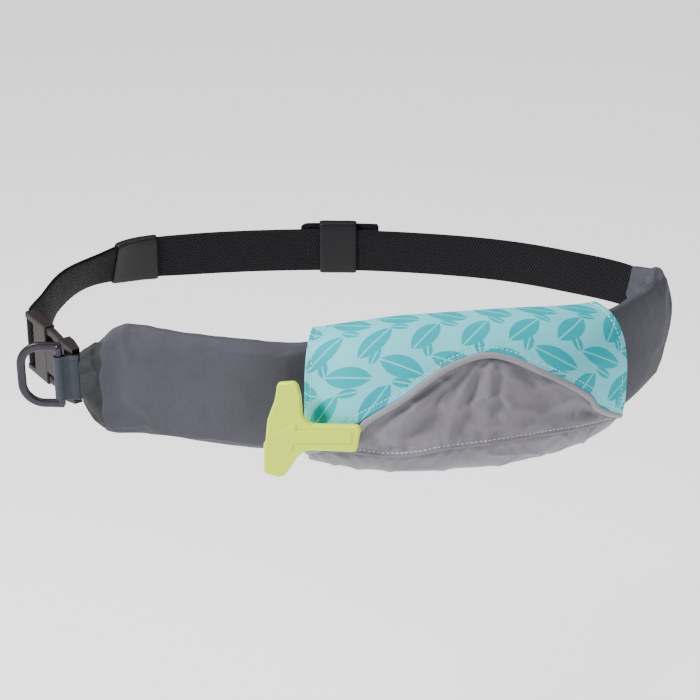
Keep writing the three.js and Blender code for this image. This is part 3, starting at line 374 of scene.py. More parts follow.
# Sleeve: the long padded cover at the front, cloth over thin foam, closed round the belt and open at
# both mouths. It is stuffed lightly, so it swells a little between its ends and creases near them.
sleeve_half_height = 45
sleeve_thickness = 19
cuff_length = 17
sleeve_power = 0.62
sleeve_step = 3.4
crease_girth = 200
channel_room = 1.4
channel_play = 0.6
channel_row_step = 5
hem_lap = 5.0
hem_fade = 9
hem_thickness = 0.9
sleeve = {
    "along": [0, 0.012, 0.028, 0.04, 0.06, 0.1, 0.22, 0.31, 0.5, 0.66, 0.74, 0.84, 0.91, 0.965, 1.0],
    "top": [0.49, 0.56, 0.64, 0.84, 0.92, 0.94, 0.95, 0.97, 1.0, 1.06, 1.1, 1.04, 0.86, 0.6, 0.48],
    "bottom": [0.52, 0.86, 1.04, 1.08, 1.11, 1.13, 1.11, 1.04, 0.98, 0.92, 0.9, 0.9, 0.86, 0.72, 0.54],
    "thick": [0.8, 0.82, 0.82, 0.88, 0.95, 1.0, 1.0, 0.78, 0.7, 0.8, 1.0, 1.05, 1.0, 0.9, 0.7],
}
sleeve_creases = [
    # share and turn at both ends of the crease, depth and width in millimetres
    (0.03, 0.10, 0.085, 0.16, 1.4, 4), (0.03, 0.02, 0.10, 0.05, 1.0, 4),
    (0.03, -0.07, 0.09, -0.12, 1.4, 4), (0.045, -0.16, 0.075, -0.2, 1.4, 4),
    (0.05, 0.2, 0.09, 0.22, 1.1, 4), (0.99, 0.08, 0.93, 0.16, 2.0, 5),
    (0.985, 0.0, 0.90, 0.03, 1.6, 5), (0.99, -0.08, 0.92, -0.15, 1.8, 5),
    (0.99, 0.42, 0.90, 0.36, 2.2, 5), (0.985, 0.5, 0.88, 0.52, 2.0, 5), (0.99, 0.58, 0.91, 0.66, 2.0, 5),
    (0.86, 0.36, 0.84, 0.62, 1.8, 5), (0.80, 0.38, 0.79, 0.6, 1.4, 6), (0.92, 0.2, 0.87, 0.1, 1.4, 6),
    (0.74, 0.2, 0.76, 0.02, 1.2, 6), (0.95, 0.3, 0.88, 0.24, 1.8, 5), (0.9, 0.28, 0.83, 0.2, 1.4, 5),
    (0.8, 0.3, 0.93, 0.4, 1.6, 4), (0.82, 0.34, 0.94, 0.46, 1.6, 4), (0.79, 0.26, 0.92, 0.33, 1.5, 4),
    (0.84, 0.4, 0.95, 0.55, 1.6, 4), (0.88, 0.3, 0.97, 0.34, 1.5, 4),
]


def sleeve_point(share, turn, grow=0.0):
    angle = turn * 2 * math.pi
    side = np.where(np.sin(angle) > 0, read_table(sleeve, "top", share), read_table(sleeve, "bottom",
                    share))
    half = sleeve_thickness / 2 * read_table(sleeve, "thick", share) + grow
    across = np.sign(np.cos(angle)) * np.abs(np.cos(angle)) ** sleeve_power
    return half * across, (sleeve_half_height * side + grow) * np.sin(angle)


def crease_depth(x, y, creases, x_size, y_size):
    depth = np.zeros_like(x)
    for x0, y0, x1, y1, deep, wide in creases:
        dx, dy = (x1 - x0) * x_size, (y1 - y0) * y_size
        px, py = (x - x0) * x_size, (y - y0) * y_size
        t = np.clip((px * dx + py * dy) / (dx * dx + dy * dy), 0, 1)
        away = np.hypot(px - t * dx, py - t * dy) / wide
        depth += deep * np.sin(math.pi * (0.12 + 0.76 * t)) * np.exp(-away * away)
    return depth


def unevenness(points, size, seed):
    """Smooth noise from -1 to 1 at points in millimetres, with the given size of its waves."""
    flat = points.reshape(-1, 3) / size + seed
    values = [noise.noise(Vector(p)) for p in flat]
    return np.array(values).reshape(points.shape[:-1])


def crumples(points, size, seed):
    """Sharp ridges between smooth dents, from 0 to 1, as crushed cloth has."""
    return (1 - np.abs(unevenness(points, size, seed))) ** 6


def sleeve_shell(name, start, end, step, channel_inside, channel_outside, relief_at, hem=0.0):
    """Outer skin and belt channel of a length of the sleeve, as one closed body.

    The hem is how far its start laps back over the piece before it, in a wavy line.
    """
    around = 84
    turn = np.arange(around) / around
    distance = spread(start, end, step)
    point, out, up = belt_frame(distance)
    t_grid, d_grid = np.meshgrid(turn, distance)
    wave = 0.62 + 0.38 * np.sin(t_grid * 6 * math.pi + 1.0) * np.cos(t_grid * 10 * math.pi)
    lapped = np.exp(-((d_grid - start) / hem_fade) ** 2) if hem else np.zeros_like(d_grid)
    d_grid = d_grid - hem * wave * lapped
    s_grid = (d_grid - sleeve_start) / sleeve_length
    o, z = sleeve_point(s_grid, t_grid)
    points, outs, ups = belt_frame(d_grid)
    outer = points + outs * o[..., None] + ups * z[..., None]
    wrapped = (t_grid + 0.3) % 1 - 0.3
    angle = t_grid * 2 * math.pi
    normal = outs * np.cos(angle)[..., None] + ups * np.sin(angle)[..., None]
    lift = relief_at(s_grid, wrapped, outer) + hem_thickness * lapped
    outer = outer + normal * lift[..., None]
    slot = webbing_width / 2 + channel_play
    angle = turn * 2 * math.pi
    wide = np.where(np.cos(angle) > 0, channel_outside, channel_inside)
    slot_out = wide * np.clip(np.cos(angle) * 1.6, -1, 1)
    slot_up = slot * np.clip(np.sin(angle) * 1.15, -1, 1)
    inner = point[:, None] + out[:, None] * slot_out[None, :, None] + up[:, None] * slot_up[None, :, None]
    lips = [outer[-1] * (1 - k) + inner[-1] * k for k in (0.3, 0.7)]
    starts = [outer[0] * (1 - k) + inner[0] * k for k in (0.7, 0.3)] + [outer[0] - normal[0] * 0.7]
    inner_rows = np.append(np.arange(len(distance) - 1, 0, -channel_row_step), 0)
    grid = np.concatenate([outer, np.array(lips), inner[inner_rows], np.array(starts)])
    return grid_object(name, grid, close_rows=True, close_columns=True,
                       uv=measured_uv(grid)), len(outer), around


def sleeve_relief(share, turn, points):
    right_end = np.clip((share - 0.74) / 0.14, 0, 1)
    ends = np.exp(-((share - 0.06) / 0.035) ** 2) + 1.7 * right_end
    by_hem = np.clip((share * sleeve_length - cuff_length) / hem_fade, 0.1, 1)
    return by_hem * (1.1 * unevenness(points, 60, 3.1) + 0.4 * unevenness(points, 17, 9.7)
                     + (0.35 + 1.9 * ends) * (crumples(points, 34, 4.9) - 0.4)
                     - (1 + 0.5 * right_end) * crease_depth(share, turn, sleeve_creases, sleeve_length,
                                                            crease_girth))


waist_pad, outer_rows, pad_around = sleeve_shell(
    "waist_pad_sleeve", sleeve_start + cuff_length, sleeve_end, sleeve_step, channel_room, channel_room,
    sleeve_relief, hem_lap)

# The stuffing's swell: the skin is blown up gently from inside as cloth, held at its channel and mouths,
# and each point keeps at most 2.5 mm of that, and less near the mouths and behind the pouch.
pouch_from_mouth = 177
pouch_start = sleeve_start + pouch_from_mouth
pouch_length = 224
swell_cap = 2.5
swell_frames = 20
pouch_calm = 14
mouth_calm = 30
rest = np.empty(len(waist_pad.data.vertices) * 3)
waist_pad.data.vertices.foreach_get("co", rest)
rest = rest.reshape(-1, 3)
pins = waist_pad.vertex_groups.new(name="held")
free_from, free_to = 2 * pad_around, (outer_rows - 2) * pad_around
held = [i for i in range(len(rest)) if not free_from <= i < free_to]
pins.add(held, 1.0, "REPLACE")
cloth = waist_pad.modifiers.new("swell", "CLOTH")
cloth.settings.quality = 5
cloth.settings.mass = 0.3
cloth.settings.tension_stiffness = 12
cloth.settings.compression_stiffness = 12
cloth.settings.bending_stiffness = 1.5
cloth.settings.use_pressure = True
cloth.settings.uniform_pressure_force = 4
cloth.settings.vertex_group_mass = "held"
cloth.settings.effector_weights.gravity = 0
for step in range(1, swell_frames + 1):
    bpy.context.scene.frame_set(step)
settled = waist_pad.evaluated_get(bpy.context.evaluated_depsgraph_get())
blown = np.empty(len(rest) * 3)
settled.data.vertices.foreach_get("co", blown)
move = blown.reshape(-1, 3) - rest
waist_pad.modifiers.remove(cloth)
waist_pad.vertex_groups.remove(pins)
size = np.linalg.norm(move, axis=1, keepdims=True)
move *= np.minimum(1, swell_cap * 0.001 / np.maximum(size, 1e-9))
distance = np.repeat(spread(sleeve_start + cuff_length, sleeve_end, sleeve_step), pad_around)
from_pouch = np.maximum(pouch_start - distance, distance - pouch_start - pouch_length)
from_mouth = np.minimum(distance - sleeve_start - cuff_length, sleeve_end - distance)
kept = np.ones(len(rest))
kept[:len(distance)] = np.clip((from_pouch - 2) / pouch_calm, 0.1,
                               1) * np.clip(from_mouth / mouth_calm, 0, 1)
waist_pad.data.vertices.foreach_set("co", (rest + move * kept[:, None]).reshape(-1))
waist_pad.data.update()
bpy.context.scene.frame_set(1)
waist_pad.modifiers.new("round", "SUBSURF").levels = 1
waist_pad.modifiers["round"].render_levels = 1


# Plain-woven nylon: threads about 0.5 mm apart, drawn a little coarse so that they show, matt, with slow
# shifts of shade from wear.
def woven_nylon(name, dark, light, thread=0.0011, rough=0.7, shine=0.3):
    material, tree = start_material(name)
    here = add(tree, "ShaderNodeTexCoord")
    place = add(tree, "ShaderNodeUVMap", uv_map="cloth")
    split = add(tree, "ShaderNodeSeparateXYZ", {0: place})
    waves = []
    for run in split.outputs[:2]:
        turn = add(tree, "ShaderNodeMath", {0: run, 1: 2 * math.pi / thread}, operation="MULTIPLY")
        waves.append(add(tree, "ShaderNodeMath", {0: turn}, operation="SINE"))
    weave = add(tree, "ShaderNodeMath", {0: waves[0], 1: waves[1]}, operation="MULTIPLY")
    grain = add(tree, "ShaderNodeTexNoise", {"Vector": here.outputs["Object"], "Scale": 1100.0,
                "Detail": 3.0})
    height = add(tree, "ShaderNodeMath", {0: weave, 1: 0.5, 2: grain}, operation="MULTIPLY_ADD")
    wear = add(tree, "ShaderNodeTexNoise", {"Vector": here.outputs["Object"], "Scale": 24.0,
               "Detail": 5.0,
               "Roughness": 0.6})
    speckle = add(tree, "ShaderNodeMath", {0: grain, 1: 0.5}, operation="SUBTRACT")
    mixed = add(tree, "ShaderNodeMath", {0: speckle, 1: 1.1, 2: wear}, operation="MULTIPLY_ADD")
    shade = add(tree, "ShaderNodeMix", {0: mixed, 6: linear(dark), 7: linear(light)}, data_type="RGBA")
    relief = add(tree, "ShaderNodeBump", {"Height": height, "Strength": 0.8, "Distance": 0.0003})
    surface = add(tree, "ShaderNodeBsdfPrincipled", {"Base Color": shade.outputs[2], "Roughness": rough,
                  "Specular IOR Level": shine, "Normal": relief})
    add(tree, "ShaderNodeOutputMaterial", {"Surface": surface})
    return material


charcoal_cloth = woven_nylon("charcoal_woven_nylon", "#3b3b43", "#4e4e58")
waist_pad.data.materials.append(charcoal_cloth)
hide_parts("waist_pad")
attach(waist_pad, "pack")


# Cuff: the sleeve's left end, of a thinner and darker cloth, drawn together over the belt so that it
# stands in soft gathers, with the D-ring's tab sewn into its mouth.
cuff_creases = [
    (0.0, 0.12, 0.03, 0.17, 1.6, 3.5), (0.0, 0.03, 0.03, 0.06, 1.5, 4),
    (0.0, -0.06, 0.03, -0.03, 1.7, 3.5),
    (0.0, -0.14, 0.03, -0.2, 1.3, 4), (0.0, 0.35, 0.03, 0.32, 1.4, 4), (0.0, 0.47, 0.03, 0.5, 1.4, 4),
    (0.0, 0.6, 0.03, 0.64, 1.3, 4),
]


def cuff_relief(share, turn, points):
    along, about = (share - 0.014) * sleeve_length / 6, (turn + 0.07) * crease_girth / 14
    bulge = 1.5 * np.exp(-along ** 2 - about ** 2)
    folds = (bulge + 0.5 * unevenness(points, 9, 5.5) + 1.8 * (crumples(points, 17, 7.3) - 0.4)
             - crease_depth(share, turn, cuff_creases, sleeve_length, crease_girth))
    return folds * np.clip((cuff_length - 3 - share * sleeve_length) / 5, 0, 1)


cuff_step, tab_room = 1.4, 3.3
pad_cuff, _, _ = sleeve_shell("pad_cuff_gathers", sleeve_start, sleeve_start + cuff_length - 0.1,
                              cuff_step,
                              tab_room, channel_room, cuff_relief)
pad_cuff.modifiers.new("round", "SUBSURF").levels = 1
pad_cuff.modifiers["round"].render_levels = 1
dark_cloth = woven_nylon("dark_thin_nylon", "#1f2124", "#323438", rough=0.5)
pad_cuff.data.materials.append(dark_cloth)
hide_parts("pad_end_cuff")
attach(pad_cuff, "pack")


# Pouch panels: light cloth sewn into a bag on the front of the sleeve. The grey cover is under, the
# aqua flap lies over it with an arched edge, and the grey bottom panel is sewn on below the seam.
pouch_half_height = 56
pouch_depth = 52
pouch_back_depth = 4.5
pouch_centre_out = -6
pouch_power = 0.74
top_back_angle = -52
bottom_back_angle = 206
layer_gap = 1.0
flap_thickness = 1.8
cover_thickness = 2.0
piping_degrees = 6.5
flap_edge_back = 1.3
seam_half_gap = 0.4
flap_stitch_inset = 4.2
side_stitch_inset = 4.5
seam_stitch_inset = 3.4
pouch = {
    "along": [0, 0.12, 0.28, 0.42, 0.55, 0.7, 0.85, 1.0],
    "top": [0.88, 0.99, 1.09, 1.12, 1.12, 1.09, 1.02, 0.94],
    "bottom": [0.92, 0.93, 0.94, 0.94, 0.93, 0.91, 0.88, 0.84],
    "depth": [0.58, 0.82, 0.98, 1.0, 0.98, 0.92, 0.82, 0.66],
    "arch": [125, 98, 75, 52, 45, 64, 88, 114],
    "seam": [130, 114, 112, 105, 104, 104, 110, 121],
}


def pouch_section(share, degrees):
    angle = np.radians(degrees)
    side = np.where(np.cos(angle) > 0, read_table(pouch, "top", share), read_table(pouch, "bottom",
                    share))
    front = pouch_depth * read_table(pouch, "depth", share)
    reach = np.where(np.sin(angle) > 0, front, pouch_back_depth)
    curve = lambda v: np.sign(v) * np.abs(v) ** pouch_power
    out = pouch_centre_out + reach * curve(np.sin(angle))
    return out, pouch_half_height * side * curve(np.cos(angle))


def pouch_surface(share, degrees, grow):
    """The pouch's points by share of its length and degrees round its section, from the top forward."""
    share, degrees = np.broadcast_arrays(np.asarray(share, float), np.asarray(degrees, float))
    o, z = pouch_section(share, degrees)
    before, after = pouch_section(share, degrees - 1.5), pouch_section(share, degrees + 1.5)
    n_out, n_up = before[1] - after[1], after[0] - before[0]
    size = np.hypot(n_out, n_up)
    point, out, up = belt_frame(pouch_start + share * pouch_length)
    o, z = o + grow * n_out / size, z + grow * n_up / size
    return point + out * o[..., None] + up * z[..., None]


def pouch_panel(name, columns, rows, from_degrees, to_degrees, grow_at, thickness):
    share = np.linspace(0, 1, columns)[:, None]
    part = np.linspace(0, 1, rows)[None, :]
    start, end = from_degrees(share), to_degrees(share)
    degrees = start + (end - start) * part
    share = np.broadcast_to(share, degrees.shape)
    grow = grow_at(share, degrees, start, end)
    points = pouch_surface(share, degrees, grow)
    girth = np.concatenate([np.zeros((columns, 1)),
                            np.cumsum(np.linalg.norm(np.diff(points, axis=1), axis=2), axis=1)], 1)
    uv = np.stack([share * pouch_length * 0.001, girth * 0.001], -1)
    uv = np.concatenate([uv, uv[:, -1:]], 1)
    uv = np.concatenate([uv, uv[-1:]], 0)
    panel = grid_object(name, points, uv=uv, facing=(0, -1, 0))
    wall = panel.modifiers.new("wall", "SOLIDIFY")
    wall.thickness = thickness * 0.001
    wall.offset = -1
    return panel


def arch_at(share):
    return read_table(pouch, "arch", share)


def seam_at(share):
    return read_table(pouch, "seam", share)


degree_length = math.pi * pouch_half_height / 180


def flap_grow(share, degrees, start, end):
    surface_points = pouch_surface(share, degrees, 0.0)
    from_edge = (end - degrees) * degree_length
    pucker = np.sin(share * pouch_length / 4.6 * 2 * math.pi + 2 * unevenness(surface_points, 30, 1.3))
    pull = np.exp(-((from_edge - 4.5) / 4) ** 2)
    groove = sum(np.exp(-(away / 1.1) ** 2) for away in (
        from_edge - flap_stitch_inset, share * pouch_length - side_stitch_inset,
        (1 - share) * pouch_length - side_stitch_inset))
    hem = np.exp(-(np.minimum(share, 1 - share) * pouch_length / 3.5) ** 2)
    return (layer_gap + flap_thickness + 0.55 * unevenness(surface_points, 40,
            7.2) + 0.22 * pucker * pull
            - 0.45 * groove + 0.35 * hem)


pouch_flap = pouch_panel("pouch_flap_cloth", 170, 90, lambda s: top_back_angle + 0 * s,
                         lambda s: arch_at(s) - flap_edge_back, flap_grow, flap_thickness)

cover_folds = [
    (0.5, 52, 0.3, 96, 2.2, 5), (0.53, 50, 0.44, 98, 1.6, 4), (0.6, 52, 0.74, 96, 1.8, 5),
    (0.88, 98, 0.66, 84, 2.4, 4), (0.12, 108, 0.34, 100, 2.2, 5), (0.48, 50, 0.2, 92, 1.4, 3),
    (0.57, 49, 0.55, 96, 1.2, 4), (0.63, 58, 0.86, 96, 1.5, 3.5), (0.18, 100, 0.42, 84, 1.2, 4),
    (0.7, 78, 0.92, 104, 1.6, 3.5), (0.3, 80, 0.5, 92, 1.0, 5), (0.06, 118, 0.26, 110, 1.4, 4),
]


def cover_grow(share, degrees, start, end):
    surface_points = pouch_surface(share, degrees, 0.0)
    from_edge = (end - degrees) * degree_length
    shown = np.clip((degrees - arch_at(share) - 2) / 6, 0, 1) * np.clip((from_edge - 1.5) / 6, 0, 1)
    folds = crease_depth(share, degrees, cover_folds, pouch_length, degree_length)
    ridge = crease_depth(share + 0.022, degrees + 2, cover_folds, pouch_length, degree_length)
    hem = 0.9 * np.exp(-(from_edge / 2.6) ** 2)
    groove = np.exp(-(from_edge - seam_stitch_inset) ** 2)
    gather = np.sin(share * pouch_length / 10 * 2 * math.pi + 7 * unevenness(surface_points, 26, 4.4))
    pull = np.exp(-((from_edge - 5) / 5) ** 2)
    behind_handle = 1 - 0.6 * np.clip((0.3 - share) / 0.08, 0, 1)
    crushed = crumples(surface_points * np.array([1, 1, 1.6]), 30, 1.7) - 0.35
    creased = ridge - 1.9 * folds + 1.1 * unevenness(surface_points, 24, 2.2) + 2.3 * crushed
    return shown * behind_handle * creased + hem - 0.7 * groove + 0.6 * gather * pull * shown


pouch_cover = pouch_panel("pouch_cover_cloth", 170, 100, lambda s: top_back_angle + 0 * s,
                          lambda s: seam_at(s) - seam_half_gap, cover_grow, cover_thickness)


def bottom_grow(share, degrees, start, end):
    surface_points = pouch_surface(share, degrees, 0.0)
    from_seam = (degrees - start) * degree_length
    gather = np.sin(share * pouch_length / 11 * 2 * math.pi + 7 * unevenness(surface_points, 30, 8.1))
    pull = np.exp(-((from_seam - 6) / 7) ** 2) * np.clip(from_seam / 4, 0, 1)
    tuck = np.exp(-(from_seam / 2.2) ** 2)
    rough = 1.1 * unevenness(surface_points, 28, 6.3) + 1.5 * (crumples(surface_points, 30, 3.3) - 0.35)
    return rough * np.clip(from_seam / 6, 0, 1) + 0.6 * gather * pull - 0.9 * tuck


pouch_bottom = pouch_panel("pouch_bottom_cloth", 170, 70, lambda s: seam_at(s) + seam_half_gap,
                           lambda s: bottom_back_angle + 0 * s, bottom_grow, cover_thickness)

# The cover and the bottom: light grey nylon pack cloth.
grey_cloth = woven_nylon("grey_pack_nylon", "#747179", "#8b8891", thread=0.0009, rough=0.5)
for panel, node, cut, cut_area in ((pouch_cover, "pouch_front_cover", (0.238, 0.165), 0.0322),
                                   (pouch_bottom, "pouch_bottom_panel", (0.234, 0.080), 0.0150)):
    panel.data.materials.append(grey_cloth)
    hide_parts(node)
    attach(panel, "pack")

# The flap: pale aqua nylon, printed in teal with close-set leaves: large ones 33 mm long that lean to
# both sides in turn, and small ones between them.
printed_cloth, tree = start_material("aqua_nylon_with_leaf_print")
place = add(tree, "ShaderNodeUVMap", uv_map="cloth")
here = add(tree, "ShaderNodeTexCoord")
wobble = add(tree, "ShaderNodeTexNoise", {"Vector": here.outputs["Object"], "Scale": 40.0,
             "Detail": 2.0})
split = add(tree, "ShaderNodeSeparateXYZ", {0: place})
leaf_layers = []
for tile_u, tile_v, start_u, start_v, half_long, half_wide_leaf, lean, spin in (
        (0.034, 0.023, 0.004, 0.006, 0.0165, 0.0078, 0.62, 0.35),
        (0.034, 0.023, 0.021, 0.0175, 0.0078, 0.0036, -0.9, 0.9)):
    v_scaled = add(tree, "ShaderNodeMath", {0: split.outputs[1], 1: start_v}, operation="ADD")
    v_tiles = add(tree, "ShaderNodeMath", {0: v_scaled, 1: tile_v}, operation="DIVIDE")
    v_row = add(tree, "ShaderNodeMath", {0: v_tiles}, operation="FLOOR")
    v_part = add(tree, "ShaderNodeMath", {0: v_tiles}, operation="FRACT")
    u_moved = add(tree, "ShaderNodeMath", {0: split, 1: start_u}, operation="ADD")
    u_tiles = add(tree, "ShaderNodeMath", {0: u_moved, 1: tile_u}, operation="DIVIDE")
    u_offset = add(tree, "ShaderNodeMath", {0: v_row, 1: 0.5, 2: u_tiles}, operation="MULTIPLY_ADD")
    u_column = add(tree, "ShaderNodeMath", {0: u_offset}, operation="FLOOR")
    u_part = add(tree, "ShaderNodeMath", {0: u_offset}, operation="FRACT")
    x = add(tree, "ShaderNodeMath", {0: u_part, 1: tile_u, 2: -0.5 * tile_u}, operation="MULTIPLY_ADD")
    y = add(tree, "ShaderNodeMath", {0: v_part, 1: tile_v, 2: -0.5 * tile_v}, operation="MULTIPLY_ADD")
    cell = add(tree, "ShaderNodeCombineXYZ", {0: u_column, 1: v_row})
    chance = add(tree, "ShaderNodeTexWhiteNoise", {"Vector": cell}, noise_dimensions="3D")
    parity = add(tree, "ShaderNodeMath", {0: v_row, 1: 2.0}, operation="FLOORED_MODULO")
    side = add(tree, "ShaderNodeMath", {0: parity, 1: -2 * lean, 2: lean}, operation="MULTIPLY_ADD")
    angle = add(tree, "ShaderNodeMath", {0: chance, 1: spin, 2: side}, operation="MULTIPLY_ADD")
    flat_place = add(tree, "ShaderNodeCombineXYZ", {0: x, 1: y})
    turned = add(tree, "ShaderNodeVectorRotate", {"Vector": flat_place, "Angle": angle},
                 rotation_type="Z_AXIS")
    leaf = add(tree, "ShaderNodeSeparateXYZ", {0: turned})
    radius = (half_long**2 + half_wide_leaf**2) / (2 * half_wide_leaf)
    across = add(tree, "ShaderNodeMath", {0: leaf.outputs[1]}, operation="ABSOLUTE")
    from_centre = add(tree, "ShaderNodeMath", {0: across, 1: radius - half_wide_leaf}, operation="ADD")
    arm = add(tree, "ShaderNodeCombineXYZ", {0: leaf, 1: from_centre})
    away = add(tree, "ShaderNodeVectorMath", {0: arm}, operation="LENGTH")
    inside = add(tree, "ShaderNodeMapRange", {0: away.outputs["Value"], 1: radius, 2: radius - 0.0004})
    vein = add(tree, "ShaderNodeMapRange", {0: across, 1: 0.0004, 2: 0.0007})
    kept = add(tree, "ShaderNodeMath", {0: inside, 1: vein}, operation="MULTIPLY")
    leaf_layers.append(kept.outputs[0])
printed = add(tree, "ShaderNodeMath", {0: leaf_layers[0], 1: leaf_layers[1]}, operation="MAXIMUM")
aqua = add(tree, "ShaderNodeMix", {0: wobble, 6: linear("#60cbd8"), 7: linear("#78d8e2")},
           data_type="RGBA")
teal = add(tree, "ShaderNodeMix", {0: wobble, 6: linear("#0097a3"), 7: linear("#00b4c0")},
           data_type="RGBA")
shade = add(tree, "ShaderNodeMix", {0: printed, 6: aqua.outputs[2], 7: teal.outputs[2]},
            data_type="RGBA")
grain = add(tree, "ShaderNodeTexNoise", {"Vector": here.outputs["Object"], "Scale": 1100.0,
            "Detail": 3.0})
relief = add(tree, "ShaderNodeBump", {"Height": grain, "Strength": 0.3, "Distance": 0.00025})
surface = add(tree, "ShaderNodeBsdfPrincipled", {"Base Color": shade.outputs[2], "Roughness": 0.7,
              "Specular IOR Level": 0.15, "Normal": relief})
add(tree, "ShaderNodeOutputMaterial", {"Surface": surface})
pouch_flap.data.materials.append(printed_cloth)
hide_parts("pouch_top_flap")
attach(pouch_flap, "pack")


# Side walls: a grey panel at each end of the pouch, sewn to the panels' edges and to the sleeve, and
# slightly swollen by what is folded inside.
wall_thickness = 0.0018
wall_columns = 60
wall_rows = 16


def side_wall(name, share, outward):
    degrees = np.linspace(2, 178, wall_columns)
    turn = np.linspace(0.25, -0.25, wall_columns)
    distance = pouch_start + share * pouch_length
    point, out, up = belt_frame(np.array([distance]))
    along = np.cross([0, 0, 1], out[0])
    front = pouch_surface(share, degrees, -cover_thickness - 0.3)
    o, z = sleeve_point((distance - sleeve_start) / sleeve_length, turn, 1.3)
    back = point + out * o[:, None] + up * z[:, None]
    part = np.linspace(0, 1, wall_rows)
    grid = front[None] * (1 - part[:, None, None]) + back[None] * part[:, None, None]
    puff = np.sin(np.pi * part)[:, None] * np.sin(np.linspace(0.05, 0.95, wall_columns) * np.pi)[None]
    grid = grid + along * (1.6 * puff + 0.5 * unevenness(grid, 14, 4.0) * puff)[..., None] * outward
    wall_piece = grid_object(name, grid, uv=measured_uv(grid), facing=along * outward)
    thick = wall_piece.modifiers.new("wall", "SOLIDIFY")
    thick.thickness = wall_thickness
    thick.offset = -1
    wall_piece.data.materials.append(grey_cloth)
    return wall_piece


for name, node, share, outward in (("pouch_left_wall", "pouch_left_gusset", 0.006, -1),
                                   ("pouch_right_wall", "pouch_right_gusset", 0.994, 1)):
    wall_piece = side_wall(name, share, outward)
    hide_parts(node)
    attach(wall_piece, "pack")


# Piping: a grey binding tape folded over the flap's arched edge and sewn through.
piping_height = 4.2
piping_thickness = 2.6
piping_seat = 0.3
arch_share = np.linspace(0, 1, 240)
tape_degrees = arch_at(arch_share) + piping_degrees / 2 * piping_seat
arch_line, arch_lifted = (pouch_surface(arch_share, tape_degrees,
                          layer_gap + piping_thickness / 2 + lift)
                          for lift in (0.2, 4))
arch_away = arch_lifted - arch_line
arch_along = np.gradient(arch_line, axis=0)
arch_side = np.cross(arch_away, arch_along)
arch_side /= np.linalg.norm(arch_side, axis=1, keepdims=True)
tape_outline = [(piping_thickness / 2 * math.cos(a),
                piping_height / 2 * math.sin(a) * (1 - 0.12 * math.cos(2 * a)))
                for a in np.linspace(0, 2 * math.pi, 14, endpoint=False)]
arch_piping = sweep("arch_piping_tape", arch_line, arch_side, tape_outline)
tape_cloth = woven_nylon("grey_binding_tape", "#8a8a91", "#a0a0a6", thread=0.0009, rough=0.6)
arch_piping.data.materials.append(tape_cloth)
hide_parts("arch_piping")
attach(arch_piping, "pack")


# Keepers: two smooth bands of coated fabric that hold the tail on the belt, one near the buckle and one
# at the middle of the back over the tail's folded end.
keeper_wall = 1.3
keeper_play = 0.8
keeper_corner = 2.2


def keeper_band(name, middle, length, inside, outside, low, high):
    distance = spread(middle - length / 2, middle + length / 2, 1.5)
    point, out, up = belt_frame(distance, leaning=True)

    def ring(grow, station):
        left, right, bottom, top = -inside - grow, outside + grow, low - grow, high + grow
        c = min(keeper_corner * (0.6 + 0.4 * (grow > 0)), (right - left) / 2.05)
        pairs = []
        for cx, cz, start in ((right - c, top - c, 0), (left + c, top - c, 90), (left + c, bottom + c,
                              180),
                              (right - c, bottom + c, 270)):
            for degrees in np.linspace(start, start + 90, 6):
                a = math.radians(degrees)
                pairs.append((cx + c * math.cos(a), cz + c * math.sin(a)))
        dense = []
        for i, (x0, z0) in enumerate(pairs):
            dense.append((x0, z0))
            x1, z1 = pairs[(i + 1) % len(pairs)]
            parts = 6 if math.hypot(x1 - x0, z1 - z0) > 6 else 1
            for k in range(1, parts):
                dense.append((x0 + (x1 - x0) * k / parts, z0 + (z1 - z0) * k / parts))
        dense = np.array(dense)
        return point[station] + out[station] * dense[:, :1] + up[station] * dense[:, 1:]

    last = len(distance) - 1
    thinned = {0: 0.5, 1: 0.15, last - 1: 0.15, last: 0.5}
    outer = [ring(keeper_wall - thinned.get(i, 0), i) for i in range(last + 1)]
    inner = [ring(0.0, i) for i in range(last, -1, -1)]
    grid = np.array(outer + inner)
    grid[1:last] += (0.18 * unevenness(grid[1:last], 9, 2.7))[..., None] * np.array([0, 0, 0.6]) \
        + (0.14 * unevenness(grid[1:last], 7, 5.1))[..., None] * out[1:last][:, None]
    return grid_object(name, grid, close_rows=True, close_columns=True, uv=measured_uv(grid))


half = webbing_thickness / 2 + keeper_play
tall = webbing_width / 2 + keeper_play
left_keeper_at, left_keeper_length = 184, 39
middle_keeper_at, middle_keeper_length = 6, 32
keeper_left = keeper_band("keeper_left_band", left_keeper_at, left_keeper_length,
                          half, layer_step + half, -tall, tall)
keeper_middle = keeper_band("keeper_middle_band", middle_keeper_at, middle_keeper_length,
                            half, 2 * layer_step + half, -tall, tall + tail_fold_rise)

# Coated fabric: a smooth charcoal film over cloth, faintly pebbled, that catches soft highlights.
coated_fabric, tree = start_material("coated_charcoal_fabric")
here = add(tree, "ShaderNodeTexCoord")
pebble = add(tree, "ShaderNodeTexVoronoi", {"Vector": here.outputs["Object"], "Scale": 900.0})
scuff = add(tree, "ShaderNodeTexNoise", {"Vector": here.outputs["Object"], "Scale": 60.0,
            "Detail": 6.0})
relief = add(tree, "ShaderNodeBump", {"Height": pebble, "Strength": 0.25, "Distance": 0.0002})
shade = add(tree, "ShaderNodeMix", {0: scuff, 6: linear("#080709"), 7: linear("#161417")},
            data_type="RGBA")
gloss = add(tree, "ShaderNodeMapRange", {0: scuff, 3: 0.36, 4: 0.56})
surface = add(tree, "ShaderNodeBsdfPrincipled", {"Base Color": shade.outputs[2], "Roughness": gloss,
              "Specular IOR Level": 0.25, "Normal": relief})
add(tree, "ShaderNodeOutputMaterial", {"Surface": surface})
for band, node in ((keeper_left, "keeper_left"), (keeper_middle, "keeper_middle")):
    band.data.materials.append(coated_fabric)
    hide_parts(node)
    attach(band, "pack")


